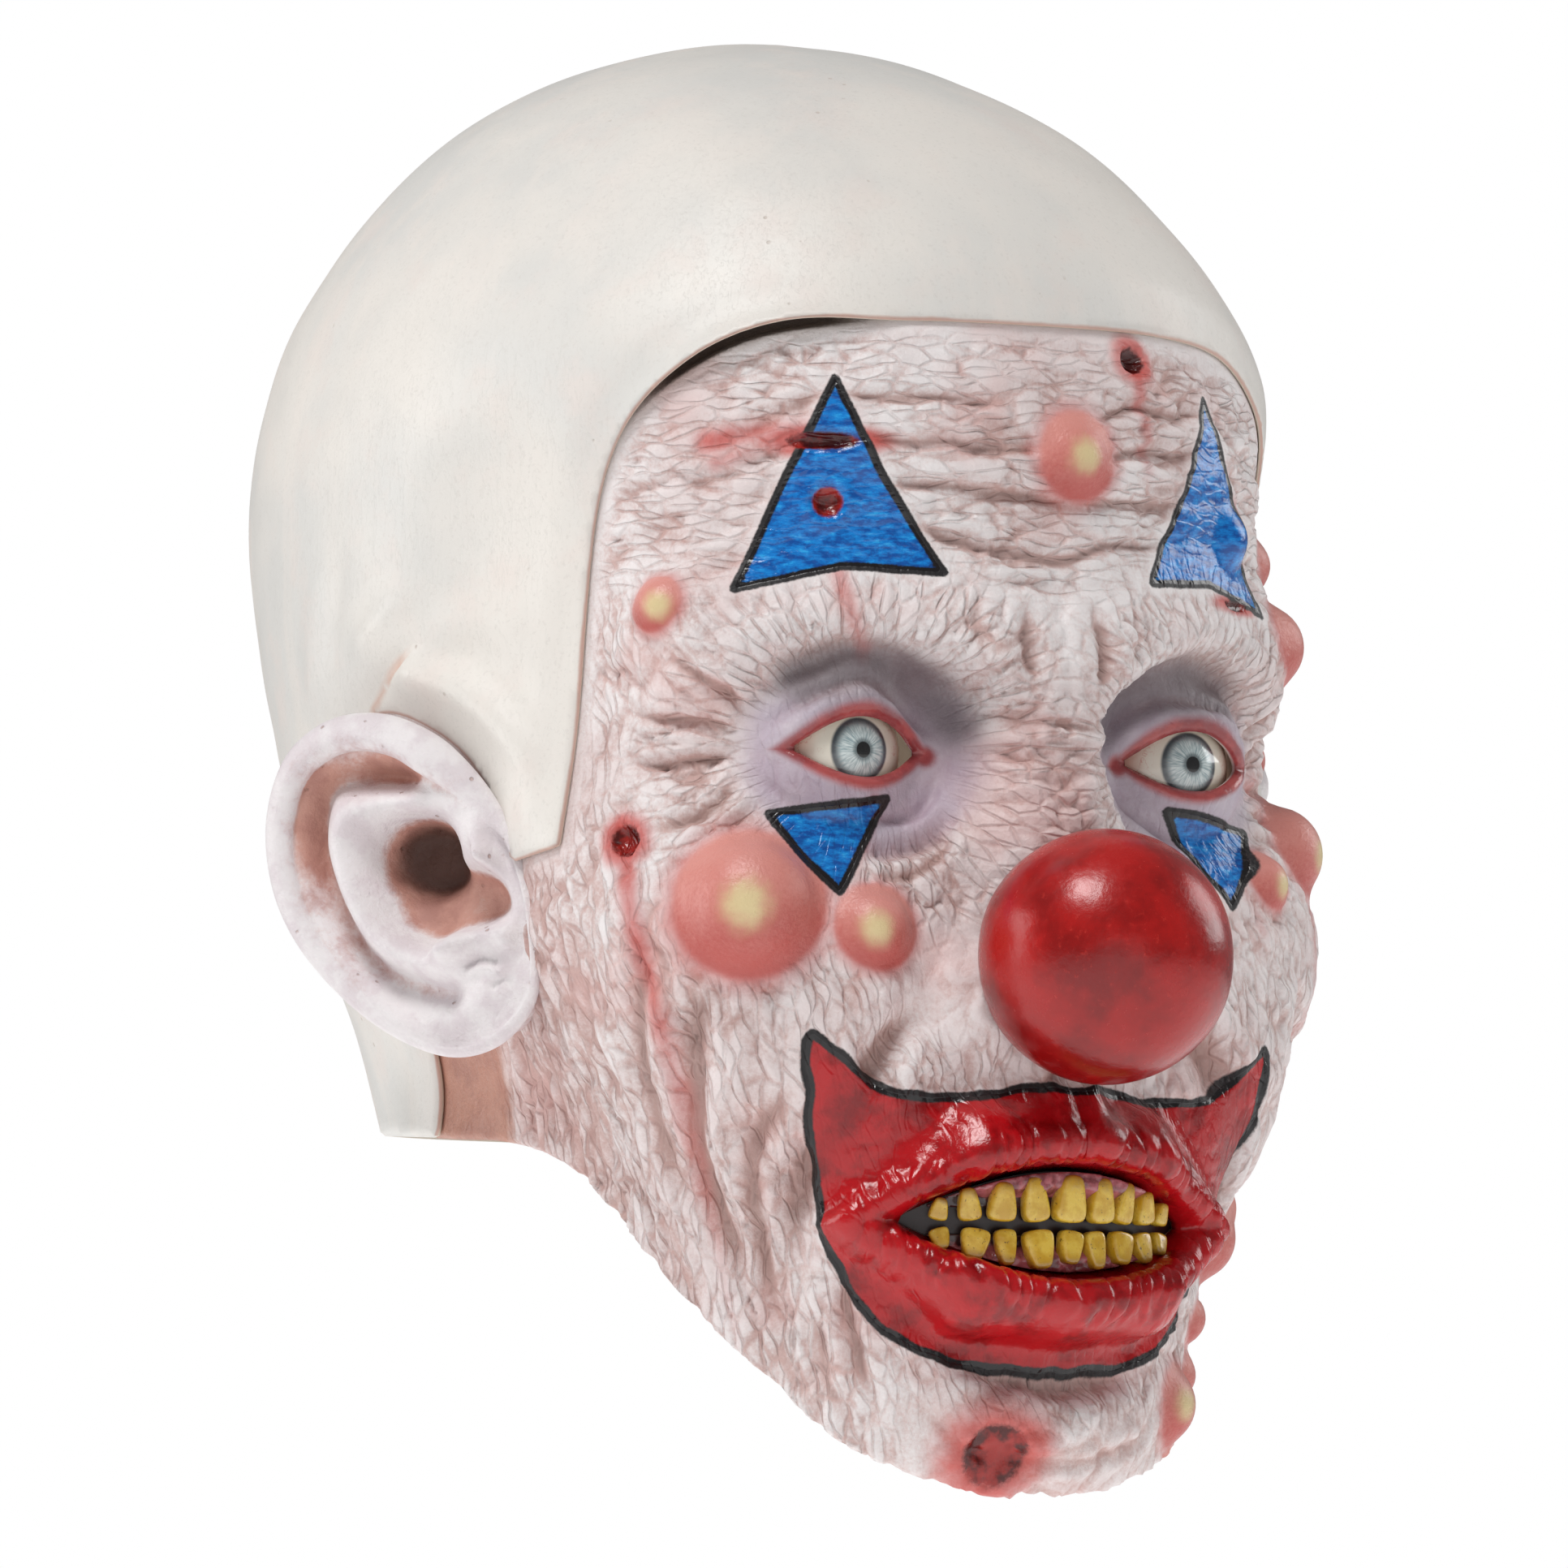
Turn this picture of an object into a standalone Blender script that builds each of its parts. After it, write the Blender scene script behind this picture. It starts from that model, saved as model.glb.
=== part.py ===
"""A full-head latex clown mask, held up as a head would hold it.

The face skin is one hollow casting: face, ears and a slanted open neck. A bald cap laps over its upper edge
and runs down to the nape. A ball nose sits on the nose tip, two eye domes sit behind the eyelids, and a dark
mouth plate behind the lips carries an upper and a lower row of teeth.

The mask looks along -Y, +X is the wearer's left and +Z is up. It is modelled with the chin at height 0, and an
empty then lowers it so that the origin is the inside of the crown, where the wearer's head meets it.
"""
import math
from collections import namedtuple

import bmesh
import bpy
import numpy as np
from mathutils import Matrix

# Overall sizes of the head form, in metres
HEAD_WIDTH = 0.182
HEAD_DEPTH = 0.210
HEAD_HEIGHT = 0.285

# Walls, laps and clearances
SKIN_WALL = 0.0024
CAP_WALL = 0.0018
CAP_LAP = 0.008
FIT_GAP = 0.0003
LAP_GAP = 0.0009
LID_GAP = 0.0009
NOSE_GAP = 0.0008
CAP_LIFT = 0.0018

# Eyes
EYE_DOME_RADIUS = 0.0151
EYE_DOME_WALL = 0.0025
EYE_SPREAD = 0.074
EYE_WIDTH = 0.032
UPPER_LID_OPENING = 0.0068
LOWER_LID_OPENING = 0.0056

# Nose
NOSE_BALL_DIAMETER = 0.048
NOSE_BALL_FORWARD = 0.005

# Mouth
MOUTH_WIDTH = 0.066
UPPER_LIP_OPENING = 0.0098
LOWER_LIP_OPENING = 0.0094
MOUTH_PLATE_WALL = 0.0018
MOUTH_PLATE_MARGIN = 0.006
GUM_MARGIN = 0.0012
TEETH_WIDTH = 0.051
BITE_GAP = 0.0009
GUM_DEPTH = 0.0014
TOOTH_DEPTH = 0.0038
UPPER_TEETH = 9
LOWER_TEETH = 9

# Ears
EAR_HEIGHT = 0.070
EAR_WIDTH = 0.050
EAR_THICKNESS = 0.0050
EAR_FLARE = math.radians(30)
EAR_LEAN = math.radians(6)
EAR_ROOT_SINK = 0.0012
EAR_AZIMUTH = math.radians(69)

# How finely the skins are faceted
HEAD_COLUMNS = 64
FACE_ROWS = 30
CAP_ROWS = 23
EAR_RINGS = 6
EAR_SPOKES = 24

# Where the head form sits, as shares of the head's height
EYE_LEVEL = 0.502
MOUTH_LEVEL = 0.192
NOSE_BALL_LEVEL = 0.365
EAR_LEVEL = 0.425

# Columns: place and reach as shares of head width, depth and height; blend as a share of head width.
# A form on one side is mirrored. Sign +1 adds the form and -1 hollows it out.
Ball = namedtuple("Ball", "name x y z reach_x reach_y reach_z blend sign")
# Columns: the two ends as shares of width, depth and height; end radii and blend as shares of head width
Bar = namedtuple("Bar", "name x0 y0 z0 x1 y1 z1 radius0 radius1 blend sign")

HEAD_FORMS = [
    Ball("cranium", 0.000, 0.058, 0.677, 0.500, 0.481, 0.323, 0.000, 1),
    Ball("forehead", 0.000, -0.125, 0.702, 0.417, 0.322, 0.211, 0.155, 1),
    Ball("side_mass", 0.000, -0.010, 0.498, 0.476, 0.413, 0.274, 0.131, 1),
    Bar("neck", 0.000, 0.106, 0.140, 0.000, 0.115, 0.526, 0.330, 0.352, 0.155, 1),
    Ball("mid_face", 0.000, -0.160, 0.372, 0.393, 0.275, 0.246, 0.143, 1),
    Ball("jaw", 0.000, -0.150, 0.189, 0.327, 0.262, 0.175, 0.143, 1),
    Bar("jaw_edge", 0.298, 0.019, 0.204, 0.143, -0.320, 0.060, 0.077, 0.083, 0.155, 1),
    Ball("muzzle", 0.000, -0.285, 0.211, 0.250, 0.200, 0.126, 0.131, 1),
    Ball("chin", 0.000, -0.375, 0.063, 0.149, 0.098, 0.063, 0.107, 1),
    Ball("cheekbone", 0.268, -0.285, 0.386, 0.161, 0.120, 0.070, 0.155, 1),
    Ball("cheek_pad", 0.202, -0.330, 0.309, 0.131, 0.112, 0.084, 0.119, 1),
    Ball("temple_hollow", 0.524, -0.262, 0.632, 0.083, 0.144, 0.098, 0.131, -1),
    Bar("brow", 0.060, -0.425, 0.566, 0.321, -0.330, 0.572, 0.054, 0.042, 0.119, 1),
    Ball("eye_socket", 0.200, -0.470, 0.506, 0.131, 0.067, 0.042, 0.095, -1),
    Ball("eye_inner", 0.113, -0.480, 0.505, 0.042, 0.048, 0.032, 0.060, -1),
    Bar("chin_crease", 0.000, -0.492, 0.098, 0.107, -0.475, 0.105, 0.024, 0.018, 0.060, -1),
]
NOSE_FORMS = [
    Bar("nose_bridge", 0.000, -0.412, 0.525, 0.000, -0.462, 0.372, 0.046, 0.074, 0.110, 1),
]
FACE_FORMS = [
    Bar("upper_lip_middle", 0.030, -0.484, 0.240, 0.095, -0.474, 0.243, 0.031, 0.031, 0.030, 1),
    Bar("upper_lip_side", 0.095, -0.474, 0.243, 0.202, -0.422, 0.196, 0.031, 0.018, 0.030, 1),
    Bar("lower_lip_middle", 0.000, -0.479, 0.142, 0.101, -0.468, 0.147, 0.039, 0.036, 0.036, 1),
    Bar("lower_lip_side", 0.101, -0.468, 0.147, 0.202, -0.422, 0.189, 0.036, 0.018, 0.030, 1),
]
# How far the eye's centre stands forward, and the blend of the lids into the socket, as shares
EYE_FORWARD = -0.352
LID_BLEND = 0.021

# Boils on the face. Columns: azimuth in degrees, + to the wearer's left; height as a share of the head's
# height; radius as a share of its width; how far the centre is sunk, as a share of that radius
Boil = namedtuple("Boil", "name azimuth height radius sunk")
BOILS = [
    Boil("right_cheek_large", -35, 0.397, 0.070, 0.35),
    Boil("right_cheek_small", -22, 0.383, 0.042, 0.35),
    Boil("forehead", 3, 0.700, 0.050, 0.60),
    Boil("left_temple", 45, 0.590, 0.046, 0.45),
    Boil("left_cheek_large", 45, 0.450, 0.052, 0.35),
    Boil("left_jaw", 38, 0.190, 0.046, 0.45),
    Boil("chin", 22, 0.070, 0.044, 0.55),
]
BOIL_BLEND = 0.030

# The window that the bald cap leaves open, half of it. Columns: azimuth in degrees from the front, and
# height as a share of the head's height
WindowPoint = namedtuple("WindowPoint", "azimuth height")
CAP_WINDOW = [
    WindowPoint(-20, 0.787),
    WindowPoint(20, 0.786),
    WindowPoint(34, 0.778),
    WindowPoint(45, 0.748),
    WindowPoint(52, 0.710),
    WindowPoint(56, 0.650),
    WindowPoint(57, 0.440),
    WindowPoint(65, 0.432),
    WindowPoint(69, 0.500),
    WindowPoint(78, 0.565),
    WindowPoint(88, 0.570),
    WindowPoint(94, 0.500),
    WindowPoint(95, 0.150),
    WindowPoint(-20, -0.200),
]
# The open rim under the jaw. Columns: distance from the head's middle as a share of its depth, and height as
# a share of the head's height
RimPoint = namedtuple("RimPoint", "depth height")
RIM = [
    RimPoint(-0.600, -0.080),
    RimPoint(-0.430, 0.010),
    RimPoint(-0.330, 0.090),
    RimPoint(-0.240, 0.175),
    RimPoint(-0.170, 0.232),
    RimPoint(-0.080, 0.252),
    RimPoint(0.100, 0.260),
    RimPoint(0.300, 0.268),
    RimPoint(0.600, 0.275),
]
# Ear relief in the ear's own plane. Columns: along from front to back and up, as shares of the ear's width
# and height from its middle; half width and height as shares of the ear's width
Ridge = namedtuple("Ridge", "name start_u start_v end_u end_v half_width height")
EAR_RIDGES = [
    Ridge("back_fold", 0.02, -0.22, 0.18, 0.02, 0.110, 0.070),
    Ridge("back_fold_up", 0.18, 0.02, 0.08, 0.22, 0.110, 0.070),
    Ridge("rim_root", -0.38, 0.06, -0.10, 0.02, 0.100, 0.050),
    Ridge("lower_flap", -0.14, -0.25, 0.02, -0.24, 0.110, 0.060),
]
EAR_BOWL_DEPTH = 0.12
EAR_BOWL = (-0.16, -0.06, 0.21, 0.15)
EAR_RIM_HEIGHT = 0.075
EAR_ROOT = (-0.24, 0.0, 0.20, 0.36)

HEAD_SIZE = np.array((HEAD_WIDTH, HEAD_DEPTH, HEAD_HEIGHT))
EYE_CENTRE = np.array((EYE_SPREAD / 2, EYE_FORWARD * HEAD_DEPTH, EYE_LEVEL * HEAD_HEIGHT))
LID_RADIUS = EYE_DOME_RADIUS + LID_GAP + SKIN_WALL
MOUTH_HEIGHT = MOUTH_LEVEL * HEAD_HEIGHT
CAP_INNER = LAP_GAP
CAP_OUTER = LAP_GAP + CAP_WALL

# The spine that the skins are measured from: rays fan out over its top, leave it level along its middle and
# fan out below its foot
SPINE_TOP = 0.667 * HEAD_HEIGHT
SPINE_FOOT = 0.218 * HEAD_HEIGHT
FAN_RADIUS = 0.33 * HEAD_HEIGHT
TOP_ARC = FAN_RADIUS * math.pi / 2
SPINE_LENGTH = SPINE_TOP - SPINE_FOOT
FOOT_ARC = FAN_RADIUS * math.radians(62)
RAY_START = 0.9 * HEAD_DEPTH
RAY_STEPS = 60
RAY_STEP_SHARE = 0.75


# Distance fields

def ball_distance(points, centre, reach):
    """Distance to an ellipsoid, below zero inside it."""
    scaled = (points - centre) / reach
    near = np.linalg.norm(scaled, axis=-1)
    slope = np.linalg.norm(scaled / reach, axis=-1)
    return near * (near - 1.0) / np.maximum(slope, 1e-9)


def bar_distance(points, start, end, radius0, radius1):
    """Distance to a round bar whose radius changes from one end to the other."""
    axis = end - start
    along = np.clip((points - start) @ axis / (axis @ axis), 0.0, 1.0)
    off_axis = np.linalg.norm(points - start - along[..., None] * axis, axis=-1)
    return off_axis - radius0 - (radius1 - radius0) * along


def merge(first, second, blend):
    """Joins two distance fields with a soft fillet."""
    if blend <= 0.0:
        return np.minimum(first, second)
    overlap = np.maximum(blend - np.abs(first - second), 0.0) / blend
    return np.minimum(first, second) - overlap * overlap * blend / 4


def hollow(first, second, blend):
    """Takes the second field out of the first with a soft edge."""
    return -merge(-first, second, blend)


def mirrored(points):
    """The same points, all moved to the wearer's left side."""
    folded = points.copy()
    folded[..., 0] = np.abs(folded[..., 0])
    return folded


def add_forms(total, points, forms):
    """Adds or hollows out each row of a form table, one after another."""
    for form in forms:
        if isinstance(form, Ball):
            centre = np.array((form.x, form.y, form.z)) * HEAD_SIZE
            reach = np.array((form.reach_x, form.reach_y, form.reach_z)) * HEAD_SIZE
            found = ball_distance(points, centre, reach)
        else:
            start = np.array((form.x0, form.y0, form.z0)) * HEAD_SIZE
            end = np.array((form.x1, form.y1, form.z1)) * HEAD_SIZE
            found = bar_distance(points, start, end, form.radius0 * HEAD_WIDTH, form.radius1 * HEAD_WIDTH)
        if total is None:
            total = found
        elif form.sign > 0:
            total = merge(total, found, form.blend * HEAD_WIDTH)
        else:
            total = hollow(total, found, form.blend * HEAD_WIDTH)
    return total


def core_distance(points):
    """The head without its lips, creases and boils: the inside of the skin follows this."""
    folded = mirrored(points)
    total = add_forms(None, folded, HEAD_FORMS)
    lids = np.linalg.norm(folded - EYE_CENTRE, axis=-1) - LID_RADIUS
    total = merge(total, lids, LID_BLEND * HEAD_WIDTH)
    return add_forms(total, folded, NOSE_FORMS)


def plain_face_distance(points):
    """The head with its lips and creases, without boils."""
    return add_forms(core_distance(points), mirrored(points), FACE_FORMS)


def face_distance(points):
    """The whole outer form of the face."""
    total = plain_face_distance(points)
    for centre, radius in boil_places():
        total = merge(total, np.linalg.norm(points - centre, axis=-1) - radius, BOIL_BLEND * HEAD_WIDTH)
    return total


# Rays from the spine to the skin

def ray(azimuth, down):
    """Start and direction of a ray, from its azimuth and its distance down the head from the crown."""
    rise = np.where(down < TOP_ARC, math.pi / 2 - down / FAN_RADIUS, 0.0)
    past = down - TOP_ARC - SPINE_LENGTH
    rise = np.where(past > 0.0, -past / FAN_RADIUS, rise)
    height = np.clip(SPINE_TOP - (down - TOP_ARC), SPINE_FOOT, SPINE_TOP)
    start = np.stack([np.zeros_like(height), np.zeros_like(height), height], -1)
    level = np.cos(rise)
    heading = np.stack([np.sin(azimuth) * level, -np.cos(azimuth) * level, np.sin(rise)], -1)
    return start, heading


def reach_skin(field, azimuth, down, level):
    """The outermost points along the rays where the field has that level."""
    start, heading = ray(azimuth, down)
    far = np.full(start.shape[:-1], RAY_START)
    for _ in range(RAY_STEPS):
        far = far - RAY_STEP_SHARE * (field(start + far[..., None] * heading) - level)
    return start + far[..., None] * heading


def down_at_height(azimuth, height):
    """How far down the head a ray has to be for its skin point to have that height."""
    low = np.full(azimuth.shape, 0.1 * TOP_ARC)
    high = np.full(azimuth.shape, TOP_ARC + SPINE_LENGTH + FOOT_ARC)
    for _ in range(24):
        middle = (low + high) / 2
        too_high = reach_skin(plain_face_distance, azimuth, middle, 0.0)[..., 2] > height
        low = np.where(too_high, middle, low)
        high = np.where(too_high, high, middle)
    return (low + high) / 2


_boil_places = []


def boil_places():
    """Centre and radius of each boil, worked out once from the table."""
    if not _boil_places:
        azimuth = np.radians(np.array([boil.azimuth for boil in BOILS], float))
        height = np.array([boil.height for boil in BOILS]) * HEAD_HEIGHT
        down = down_at_height(azimuth, height)
        skin = reach_skin(plain_face_distance, azimuth, down, 0.0)
        _, heading = ray(azimuth, down)
        for boil, point, outward in zip(BOILS, skin, heading):
            radius = boil.radius * HEAD_WIDTH
            _boil_places.append((point - outward * radius * boil.sunk, radius))
    return _boil_places


# Outlines that trim the skins. Each is above zero where the skin is kept

def azimuth_of(points):
    return np.arctan2(points[..., 0], -points[..., 1])


def eye_opening(points):
    """Above zero inside the almond between the lids."""
    across = (np.abs(points[..., 0]) - EYE_CENTRE[0]) / (EYE_WIDTH / 2)
    up = points[..., 2] - EYE_CENTRE[2]
    arch = 1.0 - across * across
    inside = np.minimum(UPPER_LID_OPENING * arch - up, up + LOWER_LID_OPENING * arch)
    return np.where(points[..., 1] < EYE_CENTRE[1], inside, -EYE_WIDTH)


def mouth_opening(points):
    """Above zero between the lips."""
    across = points[..., 0] / (MOUTH_WIDTH / 2)
    up = points[..., 2] - MOUTH_HEIGHT
    arch = 1.0 - across * across
    inside = np.minimum(UPPER_LIP_OPENING * arch - up, up + LOWER_LIP_OPENING * arch)
    return np.where(points[..., 1] < 0.0, inside, -MOUTH_WIDTH)


def smooth_table(value, places, heights):
    """Reads a table between its rows with rounded corners, by averaging over a short stretch."""
    spread = 0.25 * (places[-1] - places[0]) / len(places)
    shifts = (-1.0, -0.5, 0.0, 0.5, 1.0)
    return sum(np.interp(value + spread * shift, places, heights) for shift in shifts) / len(shifts)


def above_rim(points):
    """Height above the open rim."""
    depths = [row.depth * HEAD_DEPTH for row in RIM]
    heights = [row.height * HEAD_HEIGHT for row in RIM]
    return points[..., 2] - smooth_table(points[..., 1], depths, heights)


def inside_window(points):
    """Distance inside the cap's window, below zero where the cap lies."""
    girth = HEAD_WIDTH / 2
    across = np.abs(azimuth_of(points)) * girth
    up = points[..., 2]
    corners = [(math.radians(row.azimuth) * girth, row.height * HEAD_HEIGHT) for row in CAP_WINDOW]
    nearest = np.full(across.shape, 1.0)
    inside = np.zeros(across.shape, bool)
    for (x0, z0), (x1, z1) in zip(corners, corners[1:] + corners[:1]):
        length = (x1 - x0) ** 2 + (z1 - z0) ** 2
        along = np.clip(((across - x0) * (x1 - x0) + (up - z0) * (z1 - z0)) / length, 0.0, 1.0)
        gap = np.hypot(across - x0 - along * (x1 - x0), up - z0 - along * (z1 - z0))
        nearest = np.minimum(nearest, gap)
        if z1 != z0:
            crosses = ((z0 > up) != (z1 > up)) & (across < (x1 - x0) * (up - z0) / (z1 - z0) + x0)
            inside = inside ^ crosses
    return np.where(inside, nearest, -nearest)


def cap_lift(points):
    """How far the cap's edge stands off the forehead on the wearer's right, where it has come unstuck."""
    azimuth = np.degrees(azimuth_of(points))
    along = np.clip(1.0 - np.abs(azimuth + 30.0) / 24.0, 0.0, 1.0)
    near_edge = np.clip(1.0 + inside_window(points) / CAP_LAP, 0.0, 1.0)
    return CAP_LIFT * along * near_edge


# Skins: grids of rays, trimmed to an outline and given a wall

Grid = namedtuple("Grid", "azimuth down closed")


def head_columns():
    """Azimuths of the grid's columns, closer together over the face than behind it."""
    share = np.linspace(-1.0, 1.0, HEAD_COLUMNS + 1)[:-1]
    return math.pi * (0.42 * share + 0.58 * share ** 3)


def head_rows(first, last, count, dense_at=(), extra=1.6, spread=0.055):
    """Distances down the head, closer together near the given heights."""
    fine = np.linspace(first, last, 400)
    weight = np.ones_like(fine)
    for height in dense_at:
        down = TOP_ARC + SPINE_TOP - height
        weight = weight + extra * np.exp(-((fine - down) / (spread * HEAD_HEIGHT)) ** 2)
    total = np.cumsum(weight)
    total = (total - total[0]) / (total[-1] - total[0])
    return np.interp(np.linspace(0.0, 1.0, count), total, fine)


def make_grid(columns, rows, closed=True):
    azimuth, down = np.meshgrid(columns, rows)
    return Grid(azimuth, down, closed)


def neighbour(values, step_row, step_column, closed):
    """The values one step away in the grid, and which of them exist."""
    moved = np.roll(values, (-step_row, -step_column), (0, 1))
    real = np.ones(values.shape, bool)
    if step_row:
        real[-1 if step_row > 0 else 0, :] = False
    if step_column and not closed:
        real[:, -1 if step_column > 0 else 0] = False
    return moved, real


def snap_to_outline(grid, field, keep, level):
    """Moves the grid points nearest to the outline onto it. Returns the grid and each point's side."""
    azimuth = grid.azimuth.copy()
    down = grid.down.copy()
    side = keep(reach_skin(field, azimuth, down, level))
    best = np.full(side.shape, 2.0)
    new_azimuth = azimuth.copy()
    new_down = down.copy()
    for step in ((0, 1), (0, -1), (1, 0), (-1, 0)):
        other, real = neighbour(side, *step, grid.closed)
        crossing = real & (side * other < 0.0)
        share = np.where(crossing, side / np.where(crossing, side - other, 1.0), 2.0)
        turn = neighbour(azimuth, *step, grid.closed)[0] - azimuth
        turn = (turn + math.pi) % (2 * math.pi) - math.pi
        fall = neighbour(down, *step, grid.closed)[0] - down
        take = (share <= 0.5) & (share < best)
        best = np.where(take, share, best)
        new_azimuth = np.where(take, azimuth + share * turn, new_azimuth)
        new_down = np.where(take, down + share * fall, new_down)
    side = np.where(best <= 0.5, 0.0, side)
    return Grid(new_azimuth, new_down, grid.closed), side


def kept_faces(side, closed):
    """The grid's quads, or halves of them, on the kept side of the outline."""
    rows, columns = side.shape
    flat = side.ravel()
    faces = []
    for row in range(rows - 1):
        for column in range(columns if closed else columns - 1):
            nxt = (column + 1) % columns
            corners = [row * columns + column, (row + 1) * columns + column]
            corners += [(row + 1) * columns + nxt, row * columns + nxt]
            signs = [flat[corner] for corner in corners]
            if min(signs) >= 0.0 and max(signs) > 0.0:
                faces.append(corners)
            elif min(signs) < 0.0 < max(signs) and signs.count(0.0) == 2:
                best = max(range(4), key=lambda at: signs[at])
                faces.append([corners[best - 1], corners[best], corners[(best + 1) % 4]])
    return faces


def walled_mesh(name, outer, inner, faces):
    """One closed mesh from an outer and an inner sheet that share their faces."""
    used = sorted({corner for face in faces for corner in face})
    order = {old: new for new, old in enumerate(used)}
    count = len(used)
    points = [outer[old] for old in used] + [inner[old] for old in used]
    outer_faces = [[order[corner] for corner in face] for face in faces]
    edges = set()
    for face in outer_faces:
        edges.update(zip(face, face[1:] + face[:1]))
    walls = [[b, a, a + count, b + count] for a, b in edges if (b, a) not in edges]
    inner_faces = [[corner + count for corner in reversed(face)] for face in outer_faces]
    mesh = bpy.data.meshes.new(name)
    mesh.from_pydata([tuple(map(float, point)) for point in points], [], outer_faces + inner_faces + walls)
    mesh.update()
    return mesh


def skin_mesh(name, grid, keep, outer_field, outer_level, inner_field, inner_level, pole=False):
    """A trimmed skin whose outer and inner sheets lie at given levels of two fields."""
    grid, side = snap_to_outline(grid, outer_field, keep, 0.0)
    surface = reach_skin(outer_field, grid.azimuth, grid.down, 0.0)
    outer_at = outer_level(surface) if callable(outer_level) else outer_level
    inner_at = inner_level(surface) if callable(inner_level) else inner_level
    outer = reach_skin(outer_field, grid.azimuth, grid.down, outer_at).reshape(-1, 3)
    inner = reach_skin(inner_field, grid.azimuth, grid.down, inner_at).reshape(-1, 3)
    faces = kept_faces(side, grid.closed)
    if pole:
        top = np.zeros((1,))
        centre = len(outer)
        outer = np.vstack([outer, reach_skin(outer_field, top, top, np.ravel(outer_at)[0])])
        inner = np.vstack([inner, reach_skin(inner_field, top, top, np.ravel(inner_at)[0])])
        columns = side.shape[1]
        faces += [[centre, column, (column + 1) % columns] for column in range(columns)]
    return walled_mesh(name, outer, inner, faces)


# Small helpers

def material(name, colour, roughness, metallic=0.0):
    made = bpy.data.materials.new(name)
    made.use_nodes = True
    shader = made.node_tree.nodes["Principled BSDF"]
    shader.inputs["Base Color"].default_value = (*colour, 1.0)
    shader.inputs["Roughness"].default_value = roughness
    shader.inputs["Metallic"].default_value = metallic
    return made


def add_object(name, mesh, finish, seat):
    made = bpy.data.objects.new(name, mesh)
    bpy.context.scene.collection.objects.link(made)
    made.data.materials.append(finish)
    made.parent = seat
    mesh.shade_smooth()
    mesh.set_sharp_from_angle(angle=math.radians(50))
    return made


# Pieces

def face_keep(points):
    """The face skin: the cap's window and its lap, down to the rim, without eye and mouth openings."""
    kept = np.minimum(inside_window(points) + CAP_LAP, above_rim(points))
    return np.minimum(kept, np.minimum(-eye_opening(points), -mouth_opening(points)))


def cap_keep(points):
    """The bald cap: all outside the window, down to the rim."""
    return np.minimum(-inside_window(points), above_rim(points))


def make_face_skin(finish, seat):
    mouth_rows = (EYE_CENTRE[2], MOUTH_HEIGHT)
    first = TOP_ARC * 0.74
    rows = head_rows(first, TOP_ARC + SPINE_LENGTH + FOOT_ARC, FACE_ROWS, mouth_rows)
    grid = make_grid(head_columns(), rows)
    mesh = skin_mesh("face_skin", grid, face_keep, face_distance, 0.0, core_distance, -SKIN_WALL)
    return add_object("face_skin", mesh, finish, seat)


def make_bald_cap(finish, seat):
    dense_rows = (CAP_WINDOW[0].height * HEAD_HEIGHT, 0.45 * HEAD_HEIGHT)
    rows = head_rows(0.09 * TOP_ARC, TOP_ARC + SPINE_LENGTH, CAP_ROWS, dense_rows)
    grid = make_grid(head_columns(), rows)

    def outer_level(points):
        return CAP_OUTER + cap_lift(points)

    def inner_level(points):
        return CAP_INNER + cap_lift(points)

    mesh = skin_mesh("bald_cap", grid, cap_keep, core_distance, outer_level, core_distance, inner_level, True)
    return add_object("bald_cap", mesh, finish, seat)


def ear_axes():
    """The left ear's own axes: back along its plane, up, and out of its face."""
    back = np.array((math.sin(EAR_FLARE), math.cos(EAR_FLARE), 0.0))
    out = np.array((math.cos(EAR_FLARE), -math.sin(EAR_FLARE), 0.0))
    up = np.array((0.0, 0.0, 1.0))
    lean = math.cos(EAR_LEAN), math.sin(EAR_LEAN)
    return lean[0] * back - lean[1] * up, lean[0] * up + lean[1] * back, out


def ear_outline(angle):
    """Half width and height of the ear's edge in one direction, fuller above than below."""
    up = math.sin(angle)
    narrow = 1.0 - 0.30 * max(0.0, -up) ** 1.5
    front = 0.84 if math.cos(angle) < 0.0 else 1.0
    return 0.5 * EAR_WIDTH * math.cos(angle) * narrow * front, 0.5 * EAR_HEIGHT * up


def ear_relief(u, v, share):
    """Height of the ear's front face: rim, inner folds, flaps and the bowl."""
    height = EAR_RIM_HEIGHT * math.exp(-((share - 0.90) / 0.11) ** 2) * min(1.0, max(0.0, 0.9 + 3 * v))
    bowl_u, bowl_v, reach_u, reach_v = EAR_BOWL
    inside = ((u - bowl_u) / reach_u) ** 2 + ((v - bowl_v) / reach_v) ** 2
    height -= EAR_BOWL_DEPTH / (1.0 + inside ** 2)
    for ridge in EAR_RIDGES:
        run = (ridge.end_u - ridge.start_u, ridge.end_v - ridge.start_v)
        along = ((u - ridge.start_u) * run[0] + (v - ridge.start_v) * run[1]) / (run[0] ** 2 + run[1] ** 2)
        along = min(1.0, max(0.0, along))
        off_u = u - ridge.start_u - along * run[0]
        off_v = (v - ridge.start_v - along * run[1]) * EAR_HEIGHT / EAR_WIDTH
        height += ridge.height * math.exp(-(off_u ** 2 + off_v ** 2) / ridge.half_width ** 2)
    return height * EAR_WIDTH


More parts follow.
